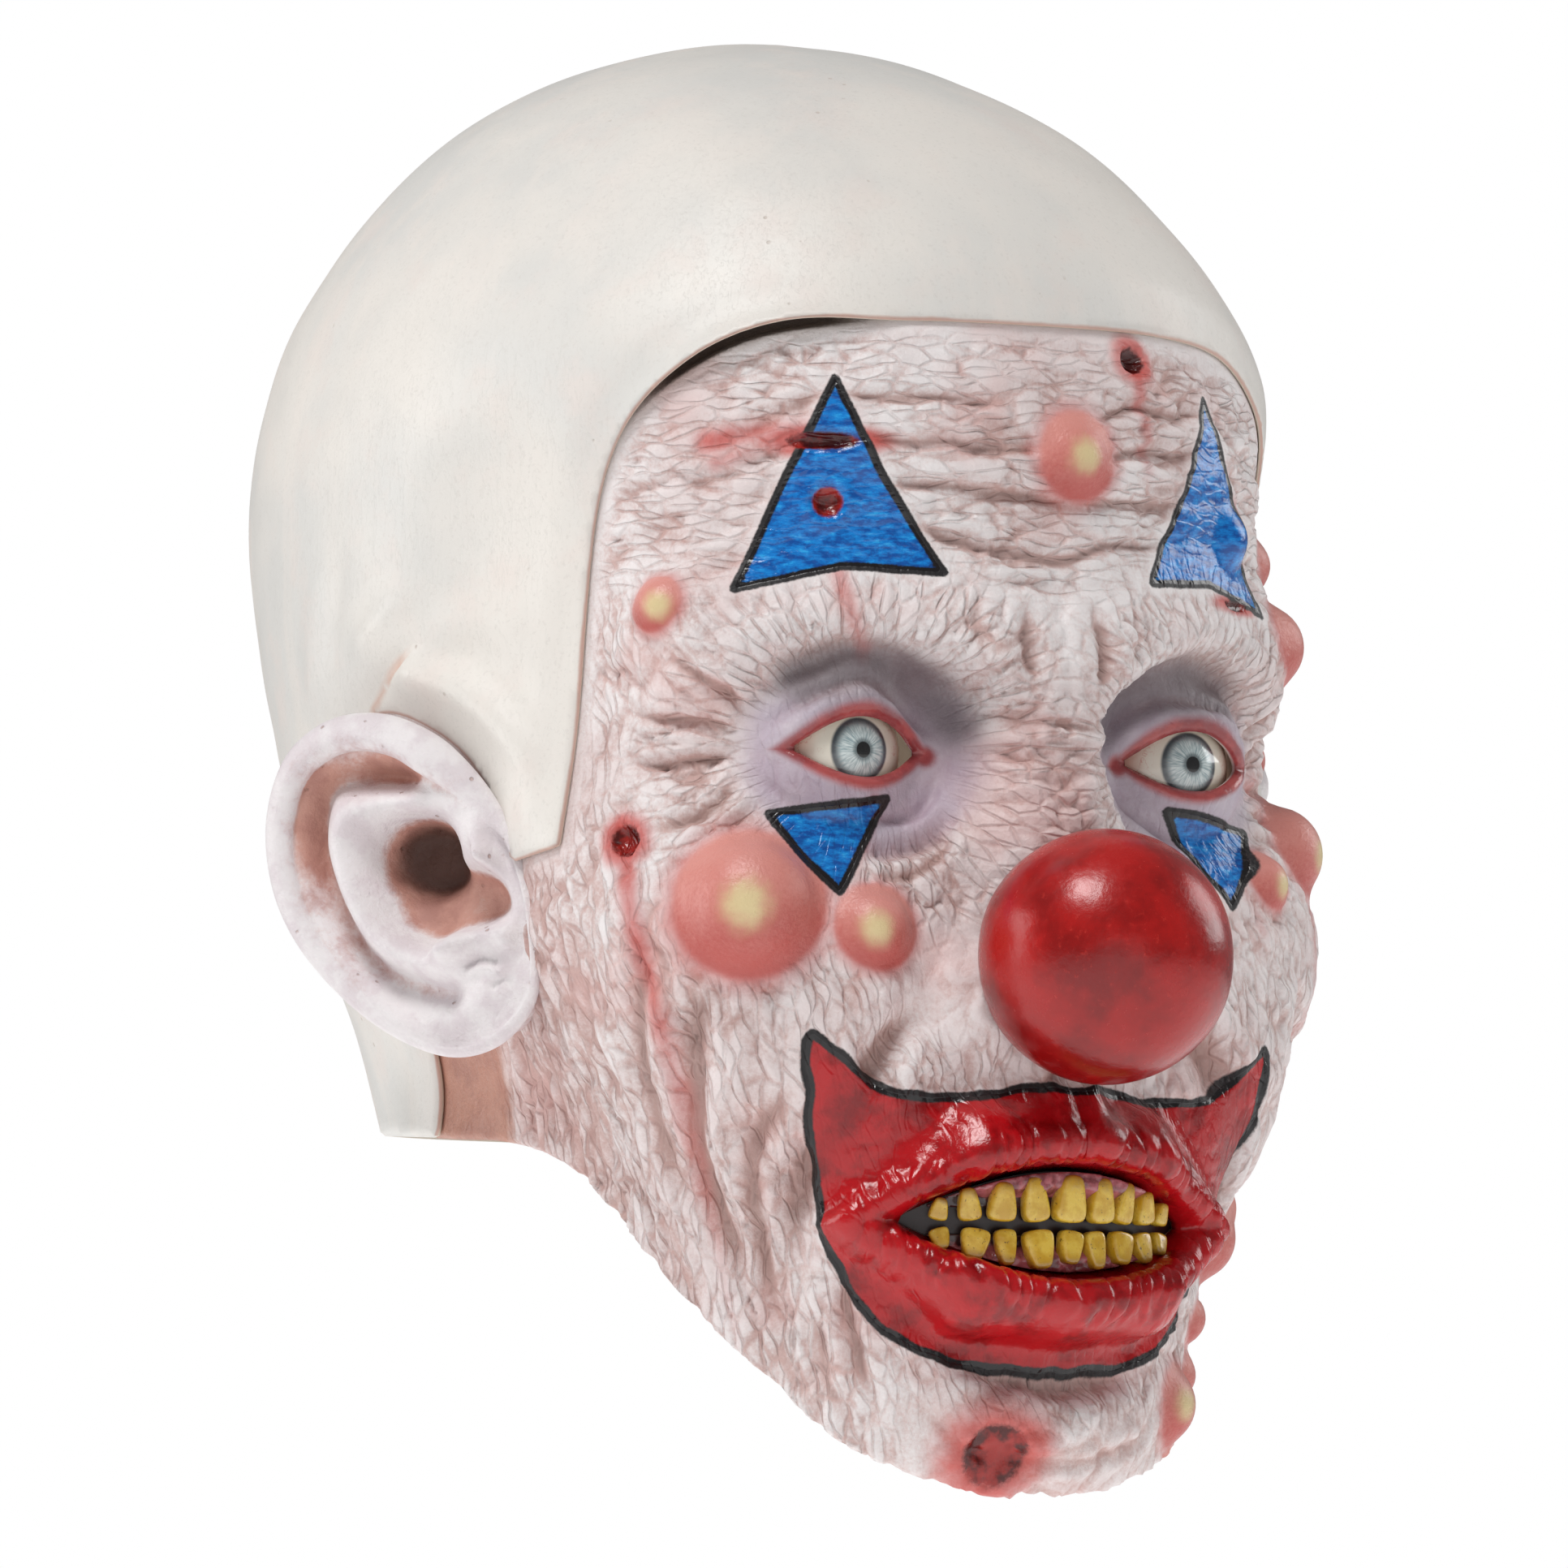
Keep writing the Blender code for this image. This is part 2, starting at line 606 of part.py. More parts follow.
def make_ear_mesh(side):
    """A solid ear from rings of points: its face, its edge, its back and a root sunk into the skin."""
    along, up, out = ear_axes()
    azimuth = np.array([EAR_AZIMUTH])
    down = np.array([TOP_ARC + SPINE_TOP - EAR_LEVEL * HEAD_HEIGHT])
    front_edge = reach_skin(core_distance, azimuth, down, 0.0)[0]
    middle = front_edge + along * 0.36 * EAR_WIDTH + out * 0.2 * EAR_THICKNESS
    spokes = [2 * math.pi * spoke / EAR_SPOKES for spoke in range(EAR_SPOKES)]
    rings = []
    for ring in range(1, EAR_RINGS + 1):
        share = ring / EAR_RINGS
        row = []
        for angle in spokes:
            edge_u, edge_v = ear_outline(angle)
            u = edge_u * share
            v = edge_v * share
            row.append(middle + along * u + up * v + out * ear_relief(u / EAR_WIDTH, v / EAR_HEIGHT, share))
        rings.append(row)
    rim = rings[-1]
    root_u, root_v, root_width, root_height = EAR_ROOT
    root = []
    for angle in spokes:
        u = (root_u + root_width * math.cos(angle)) * EAR_WIDTH
        v = (root_v + root_height * math.sin(angle)) * EAR_HEIGHT
        root.append(middle + along * u + up * v - out * EAR_THICKNESS)
    root = np.array(root)
    for _ in range(20):
        depth = core_distance(root) + EAR_ROOT_SINK
        root[:, 0] -= depth
    for share, tuck in ((0.0, 1.0), (0.45, 0.9)):
        row = []
        for at in range(EAR_SPOKES):
            behind = rim[at] - out * EAR_THICKNESS * tuck
            row.append(behind * (1 - share) + (root[at] + out * EAR_THICKNESS * 0.5) * share)
        rings.append(row)
    rings.append(list(root))
    bowl = middle + out * ear_relief(0.0, 0.0, 0.0)
    points = [bowl] + [point for row in rings for point in row] + [root.mean(0)]
    faces = []
    last = len(points) - 1
    for at in range(EAR_SPOKES):
        nxt = (at + 1) % EAR_SPOKES
        faces.append([0, 1 + at, 1 + nxt])
        for ring in range(len(rings) - 1):
            base = 1 + ring * EAR_SPOKES
            faces.append([base + at, base + EAR_SPOKES + at, base + EAR_SPOKES + nxt, base + nxt])
        base = 1 + (len(rings) - 1) * EAR_SPOKES
        faces.append([base + at, last, base + nxt])
    mesh = bpy.data.meshes.new("ear")
    mesh.from_pydata([(side * float(x), float(y), float(z)) for x, y, z in points], [], faces)
    built = bmesh.new()
    built.from_mesh(mesh)
    bmesh.ops.recalc_face_normals(built, faces=built.faces)
    built.to_mesh(mesh)
    built.free()
    return mesh


def join_ears(skin, seat):
    """Fuses both ears to the face skin, as they come out of one mould."""
    for name, side in (("left", 1), ("right", -1)):
        ear = bpy.data.objects.new(name + "_ear_guide", make_ear_mesh(side))
        bpy.context.scene.collection.objects.link(ear)
        ear.parent = seat
        ear.hide_render = True
        ear.display_type = "WIRE"
        fuse = skin.modifiers.new(name + "_ear", "BOOLEAN")
        fuse.operation = "UNION"
        fuse.solver = "EXACT"
        fuse.object = ear


def make_ball_nose(finish, seat):
    """A ball whose back is hollowed to sit over the nose tip."""
    radius = NOSE_BALL_DIAMETER / 2
    height = NOSE_BALL_LEVEL * HEAD_HEIGHT
    azimuth = np.array([0.0])
    tip = reach_skin(face_distance, azimuth, np.array([TOP_ARC + SPINE_TOP - height]), 0.0)[0]
    centre = np.array((0.0, tip[1] - NOSE_BALL_FORWARD, height))
    ball = bmesh.new()
    bmesh.ops.create_uvsphere(ball, u_segments=20, v_segments=13, radius=radius)
    bmesh.ops.rotate(ball, verts=ball.verts, cent=(0, 0, 0), matrix=Matrix.Rotation(math.pi / 2, 3, "X"))
    headings = np.array([vertex.co[:] for vertex in ball.verts]) / radius
    far = np.full(len(headings), 0.0)
    for _ in range(40):
        room = face_distance(centre + far[:, None] * headings) - NOSE_GAP
        far = np.minimum(radius, far + 0.7 * np.maximum(room, 0.0))
    for vertex, heading, reach in zip(ball.verts, headings, far):
        vertex.co = centre + heading * reach
    mesh = bpy.data.meshes.new("ball_nose")
    ball.to_mesh(mesh)
    ball.free()
    return add_object("ball_nose", mesh, finish, seat)


def make_eye(name, side, finish, seat):
    """A hollow dome, open at the back, that fills the lids from behind."""
    outer = EYE_DOME_RADIUS
    inner = EYE_DOME_RADIUS - EYE_DOME_WALL
    steps = 7
    profile = [(outer * math.sin(a), -outer * math.cos(a)) for a in np.linspace(0, math.pi / 2, steps)]
    profile += [(inner * math.sin(a), -inner * math.cos(a)) for a in np.linspace(math.pi / 2, 0, steps - 2)]
    dome = bmesh.new()
    line = [dome.verts.new((radius, depth, 0.0)) for radius, depth in profile]
    edges = [dome.edges.new(pair) for pair in zip(line, line[1:])]
    bmesh.ops.spin(dome, geom=line + edges, cent=(0, 0, 0), axis=(0, 1, 0), dvec=(0, 0, 0),
                   angle=2 * math.pi, steps=16, use_merge=True)
    bmesh.ops.remove_doubles(dome, verts=dome.verts, dist=1e-5)
    bmesh.ops.recalc_face_normals(dome, faces=dome.faces)
    mesh = bpy.data.meshes.new(name)
    dome.to_mesh(mesh)
    dome.free()
    made = add_object(name, mesh, finish, seat)
    made.location = (side * EYE_CENTRE[0], EYE_CENTRE[1], EYE_CENTRE[2])
    return made


def mouth_grid(columns, rows, half_width, low, high):
    """A grid of rays over the mouth only."""
    reach = abs(muzzle_front())
    azimuth = np.linspace(-1.0, 1.0, columns) * math.atan2(half_width, 0.86 * reach)
    start = TOP_ARC + SPINE_TOP - high
    end = TOP_ARC + SPINE_TOP - low
    return make_grid(azimuth, np.linspace(start, end, rows), closed=False)


def muzzle_front():
    """How far forward the plain form reaches between the lips."""
    down = np.array([TOP_ARC + SPINE_TOP - MOUTH_HEIGHT])
    return reach_skin(core_distance, np.array([0.0]), down, 0.0)[0][1]


def make_mouth_plate(finish, seat):
    high = MOUTH_HEIGHT + UPPER_LIP_OPENING + 1.6 * MOUTH_PLATE_MARGIN
    low = MOUTH_HEIGHT - LOWER_LIP_OPENING - 1.6 * MOUTH_PLATE_MARGIN
    grid = mouth_grid(15, 8, MOUTH_WIDTH / 2 + MOUTH_PLATE_MARGIN, low, high)
    front = -SKIN_WALL - FIT_GAP

    def keep(points):
        return mouth_opening(points) + MOUTH_PLATE_MARGIN

    mesh = skin_mesh("mouth_plate", grid, keep, core_distance, front, core_distance, front - MOUTH_PLATE_WALL)
    return add_object("mouth_plate", mesh, finish, seat)


def tooth_relief(points, count, upper):
    """Level of the gum and of the teeth over the plain form."""
    half = TEETH_WIDTH / 2
    place = (points[..., 0] / half + 1.0) / 2 * count
    inside = np.abs(place - np.floor(place) - 0.5) * 2
    tooth = np.clip((1.0 - inside) / 0.25, 0.0, 1.0)
    up = np.abs(points[..., 2] - MOUTH_HEIGHT)
    opening = UPPER_LIP_OPENING if upper else LOWER_LIP_OPENING
    crown = np.clip((0.74 * opening - up) / (0.12 * opening), 0.0, 1.0)
    return -SKIN_WALL + GUM_DEPTH + (TOOTH_DEPTH - GUM_DEPTH) * tooth * crown


def make_teeth(name, count, upper, finish, seat):
    """One row of teeth in its gum, inside the lips and clear of the other row."""
    if upper:
        low, high = MOUTH_HEIGHT, MOUTH_HEIGHT + UPPER_LIP_OPENING
    else:
        low, high = MOUTH_HEIGHT - LOWER_LIP_OPENING, MOUTH_HEIGHT
    grid = mouth_grid(3 * count + 1, 6, TEETH_WIDTH / 2, low, high)
    sign = 1.0 if upper else -1.0

    def keep(points):
        own_half = sign * (points[..., 2] - MOUTH_HEIGHT) - BITE_GAP / 2
        within = TEETH_WIDTH / 2 - np.abs(points[..., 0])
        return np.minimum(np.minimum(mouth_opening(points) - GUM_MARGIN, within), own_half)

    def outer_level(points):
        return tooth_relief(points, count, upper)

    mesh = skin_mesh(name, grid, keep, core_distance, outer_level, core_distance, -SKIN_WALL)
    return add_object(name, mesh, finish, seat)


def main():
    for existing in list(bpy.data.objects):
        bpy.data.objects.remove(existing)
    crown = reach_skin(core_distance, np.zeros((1,)), np.zeros((1,)), CAP_INNER)[0][2]
    seat = bpy.data.objects.new("head_seat", None)
    bpy.context.scene.collection.objects.link(seat)
    seat.location = (0.0, 0.0, -crown)

    painted_latex = material("painted_latex", (0.80, 0.70, 0.68), 0.55)
    cap_latex = material("cap_latex", (0.79, 0.76, 0.71), 0.50)
    red_gloss = material("red_gloss", (0.55, 0.02, 0.02), 0.25)
    eye_gloss = material("eye_gloss", (0.85, 0.82, 0.72), 0.15)
    tooth_gloss = material("tooth_gloss", (0.75, 0.55, 0.09), 0.25)
    black_gloss = material("black_gloss", (0.02, 0.01, 0.01), 0.30)

    skin = make_face_skin(painted_latex, seat)
    join_ears(skin, seat)
    make_bald_cap(cap_latex, seat)
    make_ball_nose(red_gloss, seat)
    make_eye("left_eye", 1, eye_gloss, seat)
    make_eye("right_eye", -1, eye_gloss, seat)
    make_mouth_plate(black_gloss, seat)
    make_teeth("upper_teeth", UPPER_TEETH, True, tooth_gloss, seat)
    make_teeth("lower_teeth", LOWER_TEETH, False, tooth_gloss, seat)


main()
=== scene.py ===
"""The clown mask's looks: a painted and wrinkled latex skin, a smooth bald cap, ears, eyes, teeth and a ball nose.

The sculpting is worked out in millimetres, with the chin at height 0 as in the CAD, and put into the frame in
metres, with the inside of the crown at the origin. The mask looks along -Y and +X is the wearer's left.
"""
import math
from collections import namedtuple

import bpy
import numpy as np
from mathutils import Matrix, Vector


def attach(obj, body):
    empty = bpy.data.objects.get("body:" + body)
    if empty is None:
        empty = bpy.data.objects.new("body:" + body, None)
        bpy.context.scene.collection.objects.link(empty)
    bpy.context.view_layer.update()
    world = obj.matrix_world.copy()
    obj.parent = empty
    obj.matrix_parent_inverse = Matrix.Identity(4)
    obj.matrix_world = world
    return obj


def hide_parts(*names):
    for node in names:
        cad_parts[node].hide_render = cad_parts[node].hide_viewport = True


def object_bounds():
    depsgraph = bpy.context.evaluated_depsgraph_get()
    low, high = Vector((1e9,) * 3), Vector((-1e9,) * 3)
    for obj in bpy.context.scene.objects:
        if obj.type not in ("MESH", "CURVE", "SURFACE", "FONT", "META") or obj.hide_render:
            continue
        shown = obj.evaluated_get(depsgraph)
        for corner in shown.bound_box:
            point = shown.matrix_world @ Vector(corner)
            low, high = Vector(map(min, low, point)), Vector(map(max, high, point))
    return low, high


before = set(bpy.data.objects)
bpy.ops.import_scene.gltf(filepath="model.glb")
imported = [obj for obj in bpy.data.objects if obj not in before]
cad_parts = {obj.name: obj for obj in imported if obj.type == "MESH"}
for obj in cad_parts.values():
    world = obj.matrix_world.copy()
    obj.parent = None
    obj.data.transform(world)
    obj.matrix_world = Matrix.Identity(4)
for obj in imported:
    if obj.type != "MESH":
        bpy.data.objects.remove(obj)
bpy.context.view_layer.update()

MM = 0.001

# Overall sizes of the head form and its walls, as in the CAD
HEAD_WIDTH, HEAD_DEPTH, HEAD_HEIGHT = 182.0, 210.0, 285.0
HEAD_SIZE = np.array((HEAD_WIDTH, HEAD_DEPTH, HEAD_HEIGHT))
SKIN_WALL = 2.4
THINNEST_SKIN = 1.6
CAP_WALL = 1.8
CAP_LAP = 8.0
LAP_GAP = 0.9
CAP_LIFT = 3.6
LAP_HOLLOW = 4.5

# Eyes
EYE_RADIUS = 15.1
EYE_WALL = 2.5
LID_GAP = 0.9
LID_BLEND = 3.8
EYE_CENTRE = np.array((37.0, -0.352 * HEAD_DEPTH, 0.502 * HEAD_HEIGHT))
LID_RADIUS = EYE_RADIUS + LID_GAP + SKIN_WALL
EYE_WIDTH = 28.6
UPPER_LID_OPENING = 6.8
LOWER_LID_OPENING = 5.6
LID_ROUNDING = 1.5
IRIS_RADIUS = 6.1
PUPIL_RADIUS = 1.5

# Nose
NOSE_RADIUS = 24.0
NOSE_FORWARD = 5.0
NOSE_HEIGHT = 0.365 * HEAD_HEIGHT
NOSE_GAP = 0.5

# Mouth
MOUTH_HEIGHT = 0.192 * HEAD_HEIGHT
MOUTH_WIDTH = 66.0
UPPER_LIP_OPENING = 9.8
LOWER_LIP_OPENING = 9.4
LIP_ROUNDING = 3.4
PLATE_MARGIN = 6.0
PLATE_WALL = 1.8
FIT_GAP = 0.3
GUM_FRONT = -0.9

# Ears
EAR_FLARE = math.radians(30)
EAR_LEAN = math.radians(6)
EAR_AZIMUTH = math.radians(69)
EAR_HEIGHT_ON_HEAD = 0.425 * HEAD_HEIGHT
EAR_SET_BACK = 18.0
EAR_THICKNESS = 4.6
EAR_BOWL_ACROSS = 130.5
EAR_BOWL_UP = 121.0
EAR_BOWL_DENT = 10.5
EAR_ROOT_DEPTH = 9.2

# The head form. Columns: place and reach as shares of head width, depth and height; blend as a share of head
# width. A form on one side is mirrored. Sign +1 adds the form and -1 hollows it out
Ball = namedtuple("Ball", "name x y z reach_x reach_y reach_z blend sign")
# Columns: the two ends as shares of width, depth and height; end radii and blend as shares of head width
Bar = namedtuple("Bar", "name x0 y0 z0 x1 y1 z1 radius0 radius1 blend sign")

HEAD_FORMS = [
    Ball("cranium", 0.000, 0.058, 0.677, 0.500, 0.481, 0.323, 0.000, 1),
    Ball("forehead", 0.000, -0.125, 0.702, 0.417, 0.322, 0.211, 0.155, 1),
    Ball("side_mass", 0.000, -0.010, 0.498, 0.476, 0.413, 0.274, 0.131, 1),
    Bar("neck", 0.000, 0.106, 0.140, 0.000, 0.115, 0.526, 0.330, 0.352, 0.155, 1),
    Ball("mid_face", 0.000, -0.160, 0.372, 0.393, 0.275, 0.246, 0.143, 1),
    Ball("jaw", 0.000, -0.150, 0.189, 0.327, 0.262, 0.175, 0.143, 1),
    Bar("jaw_edge", 0.298, 0.019, 0.204, 0.143, -0.320, 0.060, 0.077, 0.083, 0.155, 1),
    Ball("muzzle", 0.000, -0.285, 0.211, 0.250, 0.200, 0.126, 0.131, 1),
    Ball("chin", 0.000, -0.375, 0.063, 0.149, 0.098, 0.063, 0.107, 1),
    Ball("cheekbone", 0.268, -0.285, 0.386, 0.161, 0.120, 0.070, 0.155, 1),
    Ball("cheek_pad", 0.202, -0.330, 0.309, 0.131, 0.112, 0.084, 0.119, 1),
    Ball("temple_hollow", 0.524, -0.262, 0.632, 0.083, 0.144, 0.098, 0.131, -1),
    Bar("brow", 0.060, -0.425, 0.566, 0.321, -0.330, 0.572, 0.054, 0.042, 0.119, 1),
    Ball("eye_socket", 0.200, -0.470, 0.506, 0.131, 0.067, 0.042, 0.095, -1),
    Ball("eye_inner", 0.113, -0.480, 0.505, 0.042, 0.048, 0.032, 0.060, -1),
    Bar("chin_crease", 0.000, -0.492, 0.098, 0.107, -0.475, 0.105, 0.024, 0.018, 0.060, -1),
]
NOSE_FORMS = [
    Bar("nose_bridge", 0.000, -0.412, 0.525, 0.000, -0.462, 0.372, 0.046, 0.074, 0.110, 1),
]
FACE_FORMS = [
    Bar("upper_lip_middle", 0.030, -0.484, 0.240, 0.095, -0.474, 0.243, 0.031, 0.031, 0.030, 1),
    Bar("upper_lip_side", 0.095, -0.474, 0.243, 0.202, -0.422, 0.196, 0.031, 0.018, 0.030, 1),
    Bar("lower_lip_middle", 0.000, -0.479, 0.142, 0.101, -0.468, 0.147, 0.039, 0.036, 0.036, 1),
    Bar("lower_lip_side", 0.101, -0.468, 0.147, 0.202, -0.422, 0.189, 0.036, 0.018, 0.030, 1),
    Ball("nose_wing", 0.082, -0.455, 0.328, 0.046, 0.040, 0.028, 0.040, 1),
    Ball("upper_lip_ridge", 0.016, -0.488, 0.262, 0.012, 0.014, 0.022, 0.050, 1),
]

# Boils. Columns: azimuth in degrees, + to the wearer's left; height and radius in mm; how far the centre is
# sunk and how much of it has a yellow head, both as shares of the radius
Boil = namedtuple("Boil", "name azimuth height radius sunk head")
BOILS = [
    Boil("right_temple", -45, 170, 5.2, 0.45, 0.50),
    Boil("right_cheek_large", -35, 113, 12.7, 0.35, 0.34),
    Boil("right_cheek_small", -22, 109, 7.6, 0.35, 0.40),
    Boil("forehead", 3, 200, 8.6, 0.60, 0.36),
    Boil("left_brow_upper", 46, 184, 5.2, 0.45, 0.00),
    Boil("left_brow_lower", 45, 168, 8.2, 0.45, 0.00),
    Boil("left_paint", 31, 187, 6.4, 0.50, 0.00),
    Boil("left_cheek_large", 45, 128, 9.4, 0.35, 0.30),
    Boil("left_cheek_small", 33, 121, 5.6, 0.40, 0.42),
    Boil("left_eye_outer", 51, 147, 4.4, 0.45, 0.00),
    Boil("left_jaw_upper", 41, 60, 6.4, 0.45, 0.00),
    Boil("left_jaw", 38, 54, 8.2, 0.45, 0.00),
    Boil("left_jaw_lower", 31, 38, 4.6, 0.45, 0.00),
    Boil("left_chin_side", 33, 27, 4.8, 0.45, 0.00),
    Boil("chin", 22, 20, 7.8, 0.55, 0.36),
    Boil("chin_lower", 25, 9, 5.6, 0.45, 0.00),
]
BOIL_BLEND = 2.4

# Wounds sunk into the skin. Columns: azimuth in degrees, height, half length, half height and depth in mm
Wound = namedtuple("Wound", "name azimuth height half_length half_height depth")
WOUNDS = [
    Wound("forehead_hole", 13.0, 219.0, 2.9, 2.3, 1.9),
    Wound("brow_gash", -27.0, 201.0, 6.2, 1.6, 1.9),
    Wound("brow_hole", -26.5, 189.5, 2.6, 2.6, 1.8),
    Wound("cheek_hole", -48.5, 126.0, 2.4, 2.7, 1.7),
    Wound("chin_sore", -7.0, 11.0, 5.6, 5.2, 2.0),
    Wound("left_brow_cut", 30.0, 174.0, 4.4, 1.0, 1.0),
]
# Red runs and flushes. Columns: width in mm, strength, then azimuth and height of the points it passes
Run = namedtuple("Run", "name width strength points")
RUNS = [
    Run("forehead_run", 2.6, 0.75, [(13, 219), (13.5, 208), (13.5, 198)]),
    Run("gash_flush", 3.2, 0.80, [(-40, 201), (-32, 203), (-24, 205)]),
    Run("gash_flush_low", 2.4, 0.60, [(-39, 197), (-32, 200), (-22, 199)]),
    Run("brow_run", 2.4, 0.75, [(-26, 189), (-25.5, 178), (-24, 168), (-22, 161)]),
    Run("tear", 2.0, 0.65, [(-21, 133), (-23, 124), (-24, 114)]),
    Run("cheek_run", 2.7, 0.85, [(-48.5, 127), (-47, 110), (-44.5, 92), (-43, 74), (-42, 60)]),
    Run("cheek_run_end", 1.8, 0.45, [(-42, 62), (-39, 46), (-37, 32)]),
    Run("left_tear", 2.2, 0.70, [(22, 132), (26, 126), (30, 112)]),
    Run("left_cheek_flush", 5.0, 0.55, [(38, 140), (45, 126), (42, 108)]),
    Run("left_cheek_run", 3.0, 0.60, [(44, 122), (43, 100), (42, 82)]),
    Run("left_jaw_flush", 4.0, 0.45, [(40, 66), (37, 50), (31, 36)]),
    Run("chin_flush", 3.6, 0.40, [(20, 22), (24, 12)]),
]

# The window that the bald cap leaves open, half of it, and the open rim, as in the CAD. Columns: azimuth in
# degrees and share of the head's height; share of the head's depth and of its height
CAP_WINDOW = [
    [(-20, 0.787), (0, 0.7865), (20, 0.786), (34, 0.777), (44, 0.748), (51, 0.705), (55, 0.640), (56.5, 0.540),
     (57, 0.440)],
    [(65, 0.432), (69, 0.478), (75, 0.513), (84, 0.535), (91, 0.532), (94.5, 0.490), (95.5, 0.400), (95.5, 0.150)],
    [(95, -0.200), (-20, -0.200)],
]
RIM = [
    (-0.600, -0.080), (-0.430, 0.010), (-0.330, 0.090), (-0.240, 0.175), (-0.170, 0.232), (-0.080, 0.252),
    (0.100, 0.260), (0.300, 0.268), (0.600, 0.275),
]

# Face paint, half of it. Columns: azimuth in degrees and height in mm
BROW_TRIANGLE = [(25.6, 213), (31.5, 193), (36.8, 173), (25, 177.5), (13.6, 176.5), (20.5, 195)]
CHEEK_TRIANGLE = [(33.0, 131), (19.5, 134), (25.5, 116), (29.5, 123)]
MOUTH_PAINT = [
    (-1.0, 79), (4, 80), (9, 78.5), (16, 78), (22, 80), (28.5, 89), (28.8, 78), (28.2, 65), (26, 50), (21.5, 37),
    (14, 29.5), (6, 27.5), (-1, 27),
]
PAINT_LINE = 1.0

# How finely the skins are meshed
FACE_SPAN = math.radians(103)
FACE_COLUMNS = 430
FACE_ROWS = 300
CAP_COLUMNS = 300
CAP_ROWS = 190
EAR_SPOKES = 200
COARSE_STEP = 4

# The spine that the skins are measured from, as in the CAD
SPINE_TOP = 0.667 * HEAD_HEIGHT
SPINE_FOOT = 0.218 * HEAD_HEIGHT
FAN_RADIUS = 0.33 * HEAD_HEIGHT
TOP_ARC = FAN_RADIUS * math.pi / 2
SPINE_LENGTH = SPINE_TOP - SPINE_FOOT
FOOT_ARC = FAN_RADIUS * math.radians(62)
RAY_START = 0.9 * HEAD_DEPTH
RAY_STEP_SHARE = 0.75
SKIN_RADIUS = 95.0


# Distance fields

def ball_distance(points, centre, reach):
    """Distance to an ellipsoid, below zero inside it."""
    scaled = (points - centre) / reach
    near = np.linalg.norm(scaled, axis=-1)
    slope = np.linalg.norm(scaled / reach, axis=-1)
    return near * (near - 1.0) / np.maximum(slope, 1e-6)


def bar_distance(points, start, end, radius0, radius1):
    """Distance to a round bar whose radius changes from one end to the other."""
    axis = end - start
    along = np.clip((points - start) @ axis / (axis @ axis), 0.0, 1.0)
    off_axis = np.linalg.norm(points - start - along[..., None] * axis, axis=-1)
    return off_axis - radius0 - (radius1 - radius0) * along


def merge(first, second, blend):
    """Joins two distance fields with a soft fillet."""
    if blend <= 0.0:
        return np.minimum(first, second)
    overlap = np.maximum(blend - np.abs(first - second), 0.0) / blend
    return np.minimum(first, second) - overlap * overlap * blend / 4


def mirrored(points):
    """The same points, all moved to the wearer's left side."""
    folded = points.copy()
    folded[..., 0] = np.abs(folded[..., 0])
    return folded


def add_forms(total, points, forms):
    """Adds or hollows out each row of a form table, one after another."""
    for form in forms:
        if isinstance(form, Ball):
            centre = np.array((form.x, form.y, form.z)) * HEAD_SIZE
            reach = np.array((form.reach_x, form.reach_y, form.reach_z)) * HEAD_SIZE
            found = ball_distance(points, centre, reach)
        else:
            start = np.array((form.x0, form.y0, form.z0)) * HEAD_SIZE
            end = np.array((form.x1, form.y1, form.z1)) * HEAD_SIZE
            found = bar_distance(points, start, end, form.radius0 * HEAD_WIDTH, form.radius1 * HEAD_WIDTH)
        if total is None:
            total = found
        elif form.sign > 0:
            total = merge(total, found, form.blend * HEAD_WIDTH)
        else:
            total = -merge(-total, found, form.blend * HEAD_WIDTH)
    return total


def core_distance(points):
    """The head without its lips, creases and boils: the inside of the skin follows this."""
    folded = mirrored(points)
    total = add_forms(None, folded, HEAD_FORMS)
    lids = np.linalg.norm(folded - EYE_CENTRE, axis=-1) - LID_RADIUS
    total = merge(total, lids, LID_BLEND)
    return add_forms(total, folded, NOSE_FORMS)


def plain_face_distance(points):
    """The head with its lips and nose wings, without boils."""
    return add_forms(core_distance(points), mirrored(points), FACE_FORMS)


def face_distance(points):
    """The whole outer form of the face."""
    total = plain_face_distance(points)
    for _, centre in boil_places:
        total = merge(total, np.linalg.norm(points - centre[:3], axis=-1) - centre[3], BOIL_BLEND)
    return total


# Rays from the spine to the skin

def ray(azimuth, down):
    """Start and direction of a ray, from its azimuth and its distance down the head from the crown."""
    rise = np.where(down < TOP_ARC, math.pi / 2 - down / FAN_RADIUS, 0.0)
    past = down - TOP_ARC - SPINE_LENGTH
    rise = np.where(past > 0.0, -past / FAN_RADIUS, rise)
    height = np.clip(SPINE_TOP - (down - TOP_ARC), SPINE_FOOT, SPINE_TOP)
    start = np.stack([np.zeros_like(height), np.zeros_like(height), height], -1)
    level = np.cos(rise)
    heading = np.stack([np.sin(azimuth) * level, -np.cos(azimuth) * level, np.sin(rise)], -1)
    return start, heading


def reach_far(field, azimuth, down, level=0.0, far=None, steps=60):
    """How far out along each ray the field has that level."""
    start, heading = ray(azimuth, down)
    far = np.full(azimuth.shape, RAY_START) if far is None else far
    for _ in range(steps):
        far = far - RAY_STEP_SHARE * (field(start + far[..., None] * heading) - level)
    return far


def reach_skin(field, azimuth, down, level=0.0, far=None, steps=60):
    """The outermost points along the rays where the field has that level."""
    start, heading = ray(azimuth, down)
    return start + reach_far(field, azimuth, down, level, far, steps)[..., None] * heading


